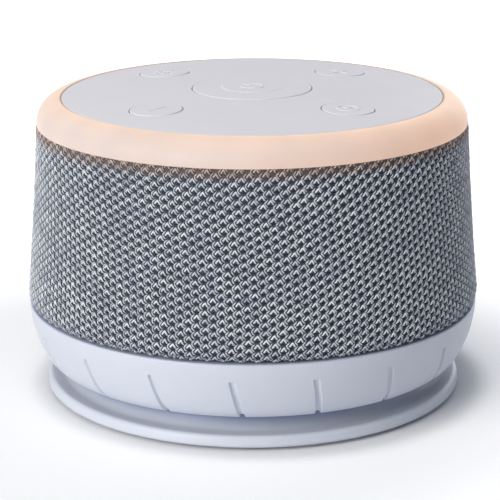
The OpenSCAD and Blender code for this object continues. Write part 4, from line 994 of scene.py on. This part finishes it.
def buttons():
    half, r, span = key["stroke"] / 2, cover["keyRing"], sign["cross"]
    gap = math.degrees(math.asin(sign["powerGap"] / sign["powerArc"]))
    power = [ridge(circlePath(0, 0, sign["powerArc"], 90 + gap, 450 - gap), key["relief"]),
             ridge(bar(0, 0, 90, *sign["powerBar"]), key["relief"])]
    minus = [ridge(bar(-r, 0, 0, -span, span), 0)]
    plus = [ridge(bar(r, 0, a, -span, span), 0) for a in (0, 90)]
    clock = [ridge(circlePath(0, -r, sign["clock"]), 0, True)]
    clock += [ridge(bar(0, -r, a, -half, hand), 0) for a, hand in zip((90, 0), sign["hands"])]
    sun = [ridge(circlePath(0, r, sign["sun"]), 0, True)]
    sun += [ridge(bar(0, r, a, *sign["rays"]), 0) for a in range(0, 360, 45)]
    for name, cx, cy, signs in (("power", 0, 0, power), ("minus", -r, 0, minus), ("plus", r, 0, plus),
                                ("timer", 0, -r, clock), ("light", 0, r, sun)):
        if name == "power":
            shell = keyShell(cx, cy, key["powerRadius"], 144, key["powerDisc"])
        else:
            shell = keyShell(cx, cy, key["smallRadius"], 88)
        points, quads, tris = weld(*joined(shell, *signs))
        addPiece(name + "Key", points, quads, tris, body=name + "_key", slot="cover_plastic",
                 stands=[name + "_button"], sharp=38)


topCover()
lightRing()
buttons()
print("cover, light ring and buttons made")


# power socket's bezel

bezel = {"height": 43.1, "bore": 5.8, "tube": 7.2, "flange": 8.6, "back": 68.663, "face": 74.113,
         "flangeThickness": 1.0}


def socketBezel():
    # turned about the socket's axis: a point (x, y, z) of the turned shape goes to (x, z, height - y)
    outline = rounded([(bezel["bore"], bezel["back"], 0.15), (bezel["tube"], bezel["back"], 0.15),
                       (bezel["tube"], bezel["face"] - bezel["flangeThickness"], 0),
                       (bezel["flange"], bezel["face"] - bezel["flangeThickness"], 0.1),
                       (bezel["flange"], bezel["face"], 0.45), (bezel["bore"], bezel["face"], 0.35)], 5)
    points, quads = turned(outline, 96)
    points = np.column_stack([points[:, 0], points[:, 2], bezel["height"] - points[:, 1]])
    addPiece("socketSurround", points, quads, stands=["socket_bezel"], sharp=50)


socketBezel()


# cloth sleeve

# the backing's grid, and the block about the socket that is made anew as rows closing in on the hole
lining = {"columns": 240, "blockLow": 34.2, "blockHigh": 52.4, "blockHalf": 8, "foot": 30.45,
          "underTop": 0.02, "steps": (0, 0.35, 0.7, 0.92, 1)}


def clothBacking():
    # two skins, offset inwards from the side by the backing depth and by the full thickness, joined at the
    # foot and the top; a block of the grid behind the socket becomes a fan of rows closing in on the hole
    full = sleeveLength()
    s = np.linspace(0, full, 400)
    z = sleevePoint(s)[1]
    low, high = lining["blockLow"], lining["blockHigh"]
    marks = np.concatenate([np.linspace(0, 3.6, 7), np.interp(np.linspace(low, high, 10), z, s),
                            np.linspace(np.interp(high, z, s), full, 20)[1:]])
    marks = np.unique(np.round(marks, 4))
    r, z, nr, nz = sleevePoint(marks)
    skins = []
    for depth in (sleeve["backing"], sleeve["thickness"]):
        height = np.clip(z - nz * depth, lining["foot"], sleeve["top"] - lining["underTop"])
        skins.append(np.column_stack([r - nr * depth, height]))
    profile = np.vstack([skins[0], skins[1][::-1]])
    rows, columns = len(marks), lining["columns"]
    points, quads = turned(profile, columns)
    first, last = (int(np.argmin(np.abs(z - h))) for h in (low, high))
    left, right = columns // 4 - lining["blockHalf"], columns // 4 + lining["blockHalf"]
    keep = np.ones((len(profile), columns), bool)
    keep[first:last, left:right] = False
    keep[2 * rows - 1 - last:2 * rows - 1 - first, left:right] = False
    quads = quads.reshape(len(profile), columns, 4)[keep]
    # border of the block, anticlockwise seen from outside, as rows and columns of the outer skin
    border = ([(first, j) for j in range(left, right)] + [(i, right) for i in range(first, last)]
              + [(last, j) for j in range(right, left, -1)] + [(i, left) for i in range(last, first, -1)])
    outer = np.array([points[i * columns + j] for i, j in border])
    inner = np.array([points[(2 * rows - 1 - i) * columns + j] for i, j in border])
    a = np.arctan2(outer[:, 2] - sleeve["holeHeight"], outer[:, 0])
    layers = []
    for edge, depth, steps in ((outer, sleeve["backing"], lining["steps"]),
                               (inner, sleeve["thickness"], lining["steps"][::-1])):
        for f in steps:
            x = (1 - f) * edge[:, 0] + f * sleeve["holeRadius"] * np.cos(a)
            h = (1 - f) * edge[:, 2] + f * (sleeve["holeHeight"] + sleeve["holeRadius"] * np.sin(a))
            t = np.clip((h - sleeve["rollHeight"]) / (sleeve["top"] - sleeve["rollHeight"]), 0, 1)
            y = np.sqrt((sleeveRadius(t) - depth) ** 2 - x ** 2)
            layers.append(edge if f == 0 else np.column_stack([x, y, h]))
    patch = np.vstack(layers)
    faces = gridFaces(len(layers), len(border), closeRows=False)
    points, quads, tris = weld(*joined((points, quads), (patch, faces)))
    return addPiece("clothBacking", points, quads, tris, slot="cloth", stands=["fabric_sleeve"], sharp=50)


# strand centre lines in one cell, as (across, along, depth) in mm from the top of its bright peak
strands = {
    "peak": {"path": [(-1.0, -1.28, -0.74), (-0.86, -1.06, -0.2), (-0.55, -0.66, 0.0), (-0.2, -0.22, -0.08),
                      (0.0, 0.06, -0.03), (0.36, -0.46, 0.0), (0.76, -1.06, -0.1), (0.98, -1.4, -0.74)],
             "half": 0.3, "thick": 0.2, "sides": 5, "tone": 1.0},
    # the hooks lie below the peaks and their lower tone is painted shade
    "hook": {"path": [(-0.82, 0.15, -0.78), (-1.02, -0.05, -0.42), (-1.33, -0.36, -0.28),
                      (-1.6, -0.65, -0.38), (-1.72, -0.86, -0.56), (-1.76, -1.02, -0.9),
                      (-1.72, -1.18, -0.56), (-1.6, -1.4, -0.38), (-1.34, -1.68, -0.28),
                      (-1.04, -2.0, -0.42), (-0.84, -2.24, -0.78)],
             "half": 0.235, "thick": 0.15, "sides": 4, "tone": 0.85},
}


def strandTemplate(kind):
    # a tube about the path: ring i lies at p_i + half cos(b) n_i + thick sin(b) up, n_i being square to the
    # path in the cloth's plane; both ends close on a point
    info = strands[kind]
    path = np.array(info["path"], float)
    way = np.gradient(path[:, :2], axis=0)
    way /= np.linalg.norm(way, axis=1)[:, None]
    across = np.column_stack([-way[:, 1], way[:, 0]])
    sides = info["sides"]
    b = -np.pi / 2 + np.arange(sides) * 2 * np.pi / sides
    swell = np.clip(np.sin(np.linspace(0.16, 0.84, len(path)) * np.pi) * 1.25, 0, 1)[:, None]
    ringPoints = np.stack([path[:, :1] + across[:, :1] * info["half"] * np.cos(b) * swell,
                           path[:, 1:2] + across[:, 1:] * info["half"] * np.cos(b) * swell,
                           path[:, 2:] + info["thick"] * np.sin(b) * swell], axis=-1)
    n = len(path)
    points = np.vstack([path[:1], ringPoints.reshape(-1, 3), path[-1:]])
    quads = gridFaces(n, sides, closeRows=False) + 1
    j = np.arange(sides)
    tris = np.vstack([np.column_stack([0 * j, 1 + (j + 1) % sides, 1 + j]),
                      np.column_stack([0 * j + n * sides + 1, 1 + (n - 1) * sides + j,
                                       1 + (n - 1) * sides + (j + 1) % sides])])
    along = np.concatenate([[0], np.repeat(np.linspace(0, 1, n), sides), [1]])
    around = np.concatenate([[0], np.tile(j / sides, n), [0]])
    return points, quads, tris, np.column_stack([along, around])


# how cells differ: spreads of place and height in mm and of size, mean and spread of tone. "shade" is how the
# rows in the roll darken, and "sunk" the depth of all that passes an end of the cloth
stray = {"place": 0.05, "height": 0.035, "size": 0.05, "tone": (0.72, 0.2), "shade": (1.2, 3.0, 0.25),
         "sunk": -0.76}


def cellPlaces(part, parts, rng, full):
    # the cells of one sector. Row k lies at s = (p / g) (exp(g k) - 1), so that rows are p apart at the foot
    # and wider above; rows rise by a few steps per turn and wave by w sin(2 angle). A column leans by
    # a (full - s) + b (full^3 - s^3)
    step, count, growth, radius = (sleeve[k] for k in ("rowStep", "columns", "rowGrowth", "meanRadius"))
    column = np.arange(count * part // parts, count * (part + 1) // parts)
    row = np.arange(-1 - sleeve["rise"], int(full / step) + 3)
    column, row = [v.ravel().astype(float) for v in np.meshgrid(column, row, indexing="ij")]
    turn = 2 * np.pi * column / count
    row = row + (column % 2) / 2 + sleeve["rise"] * column / count + sleeve["wave"] * np.sin(2 * turn) / step
    s = step / growth * (np.exp(growth * row) - 1) + rng.normal(0, stray["place"], len(row))
    turn = turn + columnLean(s, full) / radius + rng.normal(0, stray["place"], len(s)) / radius
    return s, turn


def clothStrands(part, parts):
    # every cell of one sector: its local (u, v, h) goes to angle + u / r, s + v and h outwards
    rng = np.random.default_rng(sleeve["seed"] + part)
    full = sleeveLength()
    s, turn = cellPlaces(part, parts, rng, full)
    lift = rng.normal(0, stray["height"], len(s))
    grow = rng.normal(1, stray["size"], len(s))
    tone = np.clip(rng.normal(*stray["tone"], len(s)), 0, 1)
    start, over, least = stray["shade"]
    shade = np.clip((s - start) / over, least, 1)
    meshes, tints, uvs, count = [], [], [], 0
    for kind, info in strands.items():
        shape, quads, tris, uv = strandTemplate(kind)
        u = shape[:, 0] * grow[:, None]
        v = s[:, None] + shape[:, 1]
        h = shape[:, 2] + lift[:, None]
        # strands wholly past an end are left out, others sink into the backing there
        past = (v + 0.15 < 0).all(axis=1) | (v.min(axis=1) > full - 0.25)
        h = h + np.clip(np.minimum(v, full - v), -1, 0) * 0.6
        h = np.where((v < 0) | (v > full), np.minimum(h, stray["sunk"]), h)
        r, z, nr, nz = sleevePoint(v)
        r, z = r + nr * h, np.clip(z + nz * h, sleeve["foot"], sleeve["top"] - 0.04)
        angle = turn[:, None] + u / sleeve["meanRadius"]
        x, y = r * np.cos(angle), r * np.sin(angle)
        away = np.hypot(x, z - sleeve["holeHeight"]).min(axis=1)
        keep = ~past & ~((away < sleeve["holeRadius"] + 0.15) & (y.min(axis=1) > 0))
        number = count + np.arange(keep.sum())[:, None, None] * len(shape)
        meshes.append((np.stack([x, y, z], axis=-1)[keep].reshape(-1, 3),
                       (quads[None] + number).reshape(-1, 4), (tris[None] + number).reshape(-1, 3)))
        offset = rng.uniform(0, 50, keep.sum())[:, None, None] * np.array([1.0, 0.0])
        uvs.append((uv[None] + offset).reshape(-1, 2))
        # the tint carries random tone, and painted shade on the hooks and in the roll
        tints.append(np.repeat((tone * info["tone"] * shade)[keep], len(shape)))
        count += keep.sum() * len(shape)
    points, quads, tris = (np.vstack(arrays) for arrays in zip(*meshes))
    return addPiece("clothStrands%d" % (part + 1), points, quads, tris, slot="cloth", paint=strandPaint,
                    sharp=180, uv=np.vstack(uvs), tint=np.concatenate(tints))


backing = clothBacking()
sectors = [clothStrands(k, 4) for k in range(4)]
print("cloth made:", sum(len(s.data.polygons) for s in sectors), "strand faces")


# floor and light

# "front" is the direction of the camera's side; lamps stand round from it, positive to its right, and up from
# the floor, both in degrees
studio = {"front": -135, "floor": 6000, "floorTone": (240, 240, 241), "sky": 0.27, "skyTone": (232, 240, 255),
          "aim": 50,
          # painted shade: the floor's glow is held back within "near", so a darker ring lies round the foot
          "near": {"from": 69.5, "to": 80, "glow": 0.22, "centre": (2.1, -2.1, 0)},
          "far": {"from": 90, "to": 230, "glow": 0.75, "centre": (-35, 7, 0)},
          "key": {"around": -44, "up": 22, "away": 1300, "size": 900, "power": 12.4, "tone": (255, 253, 248)},
          "top": {"around": -20, "up": 80, "away": 1300, "size": 700, "power": 4.6, "tone": (255, 254, 252)},
          "back": {"around": 155, "up": 10, "away": 1300, "size": 700, "power": 2.8, "tone": (250, 252, 255)}}


def lamp(name):
    info = studio[name]
    data = bpy.data.lights.new(name, "AREA")
    data.shape = "DISK"
    data.size = info["size"] * mm
    data.energy = info["power"]
    data.color = srgb(*info["tone"])[:3]
    spot = bpy.data.objects.new(name, data)
    scene.collection.objects.link(spot)
    around, up = math.radians(studio["front"] + info["around"]), math.radians(info["up"])
    middle = Matrix.Translation([0, 0, studio["aim"] * mm])
    spot.matrix_world = middle @ Matrix.Rotation(around + math.pi / 2, 4, "Z") \
        @ Matrix.Rotation(math.pi / 2 - up, 4, "X") @ Matrix.Translation([0, 0, info["away"] * mm])


def seenDirectly(owner):
    # 1 for the rays of the camera, of mirrors and of clear glass, otherwise 0
    rays = addNode(owner, "LightPath").outputs
    seen = calc(owner, "MAXIMUM", rays["Is Camera Ray"], rays["Is Glossy Ray"])
    return calc(owner, "MAXIMUM", seen, rays["Is Transmission Ray"])


def floor():
    # a wide plane: it takes the soft shadow, and glows for the camera, mirror and glass rays only: not under
    # the machine, some way out from its foot, and more towards the white background. The glow held back near
    # the foot paints a darker ring of shade round the machine on top of its rendered shadow
    half = studio["floor"] / 2 * mm
    mesh = bpy.data.meshes.new("floor")
    corner = [(-half, -half, 0), (half, -half, 0), (half, half, 0), (-half, half, 0)]
    mesh.from_pydata(corner, [], [(0, 1, 2, 3)])
    plane = bpy.data.objects.new("floor", mesh)
    scene.collection.objects.link(plane)
    paint, shader = newPaint("floor", srgb(*studio["floorTone"]), 0.9, Emission_Strength=1.0)
    where = ownPlace(paint)
    levels = []
    for zone in (studio["near"], studio["far"]):
        middle = tuple(v * mm for v in zone["centre"])
        away = addNode(paint, "VectorMath", {0: where, 1: middle}, operation="DISTANCE").outputs["Value"]
        ramp = addNode(paint, "MapRange", {"Value": away, "From Min": zone["from"] * mm,
                                           "From Max": zone["to"] * mm, "To Max": zone["glow"]},
                       interpolation_type="SMOOTHSTEP")
        levels.append(ramp.outputs["Result"])
    level = calc(paint, "ADD", *levels)
    wire(paint, shader.inputs["Emission Strength"], calc(paint, "MULTIPLY", seenDirectly(paint), level))
    shader.inputs["Emission Color"].default_value = (1, 1, 1, 1)
    shader.inputs["Specular IOR Level"].default_value = 0.0
    mesh.materials.append(paint)


def sky():
    # white to the eye, and a dimmer bluish light for the machine
    world = bpy.data.worlds.new("studio")
    scene.world = world
    world.use_nodes = True
    back = world.node_tree.nodes["Background"]
    seen = seenDirectly(world)
    wire(world, back.inputs["Strength"], shift(world, seen, studio["sky"], 1.0, 0, 1))
    wire(world, back.inputs["Color"], blend(world, seen, srgb(*studio["skyTone"]), (1, 1, 1, 1)))


for name in ("key", "top", "back"):
    lamp(name)
floor()
sky()
print("floor and light made")
